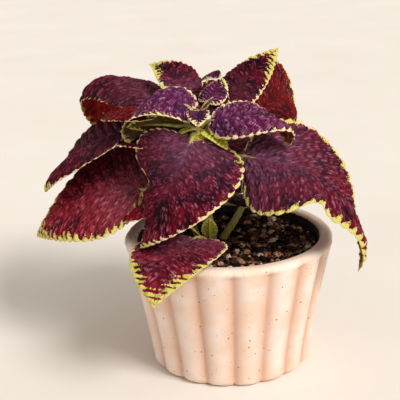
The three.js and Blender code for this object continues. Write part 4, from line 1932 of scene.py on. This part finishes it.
@dataclass
class Studio:
    """A pale floor, soft lights and the camera."""

    field_of_view: float = 24
    elevation: float = 18.39
    distance: float = 493.8
    target: Point = (-14.4, 0, 88.0)
    roll: float = -2.04
    sensor: float = 36
    floor_radius: float = 30000
    key_azimuth: float = -44
    key_elevation: float = 42
    key_strength: float = 2.65
    key_softness: float = 24
    key_colour: Point = (1.0, 0.97, 0.93)
    surroundings: Colour = (1.0, 0.92, 0.84, 1.0)
    surroundings_strength: float = 0.62
    floor_sides: int = 96

    def build_floor(self) -> None:
        """Builds the pale floor."""
        shader = Shader("pale_floor")
        cloud = shader.noise(120, 3)
        pale = shader.blend(cloud, screen(226, 221, 214), screen(236, 232, 226))
        material = shader.dress(Base_Color=pale, Roughness=shader.span(cloud, 0, 1, 0.7, 0.85))
        points = turned(self.floor_radius, round_angles(self.floor_sides), 0)
        draft = Draft()
        draft.add(points, [np.arange(self.floor_sides)[None]], {})
        draft.build("floor", material)

    def build_camera(self) -> None:
        """Sets the camera at the viewing angle, level apart from a slight roll."""
        slope, roll = math.radians(self.elevation), math.radians(self.roll)
        forward = Vector((0, math.cos(slope), -math.sin(slope)))
        right = Vector((1, 0, 0))
        up = right.cross(forward)
        rolled_right = right * math.cos(roll) + up * math.sin(roll)
        rolled_up = up * math.cos(roll) - right * math.sin(roll)
        lens = bpy.data.cameras.new("camera")
        lens.sensor_width = self.sensor
        lens.lens = self.sensor / 2 / math.tan(math.radians(self.field_of_view / 2))
        lens.clip_start = 0.01
        camera = link(bpy.data.objects.new("camera", lens))
        place = (Vector(self.target) - forward * self.distance) * MM
        columns = Matrix((rolled_right, rolled_up, -forward)).transposed()
        camera.matrix_world = Matrix.Translation(place) @ columns.to_4x4()
        bpy.context.scene.camera = camera

    def build_sun(self) -> None:
        """Hangs the one soft key light, which reaches the whole floor evenly."""
        light = bpy.data.lights.new("key_light", "SUN")
        light.energy = self.key_strength
        light.angle = math.radians(self.key_softness)
        light.color = self.key_colour
        lamp = link(bpy.data.objects.new("key_light", light))
        toward = heading(self.key_azimuth, self.key_elevation)
        lamp.rotation_euler = Vector(-toward).to_track_quat("-Z", "Y").to_euler()
        lamp.location = Vector(toward)

    def build(self) -> None:
        """Sets up floor, camera, light and the pale surroundings."""
        self.build_floor()
        self.build_camera()
        self.build_sun()
        world = bpy.data.worlds.new("pale_surroundings")
        world.use_nodes = True
        backdrop = world.node_tree.nodes["Background"]
        backdrop.inputs["Color"].default_value = self.surroundings
        backdrop.inputs["Strength"].default_value = self.surroundings_strength
        bpy.context.scene.world = world
        bpy.context.scene.view_settings.view_transform = "Standard"


def corners(bounds: tuple[Iterable[float], Iterable[float]]) -> list[list[float]]:
    """A box as plain lists of numbers."""
    return [[float(value) for value in corner] for corner in bounds]


def main() -> None:
    """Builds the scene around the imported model."""
    logging.basicConfig(level=logging.INFO, format="%(name)s %(message)s")
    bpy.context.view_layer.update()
    Studio().build()
    pot = FlutedPot()
    pot.build()
    CompostFill(pot).build()
    Coleus().build()
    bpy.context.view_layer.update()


if __name__ == "__main__":
    main()
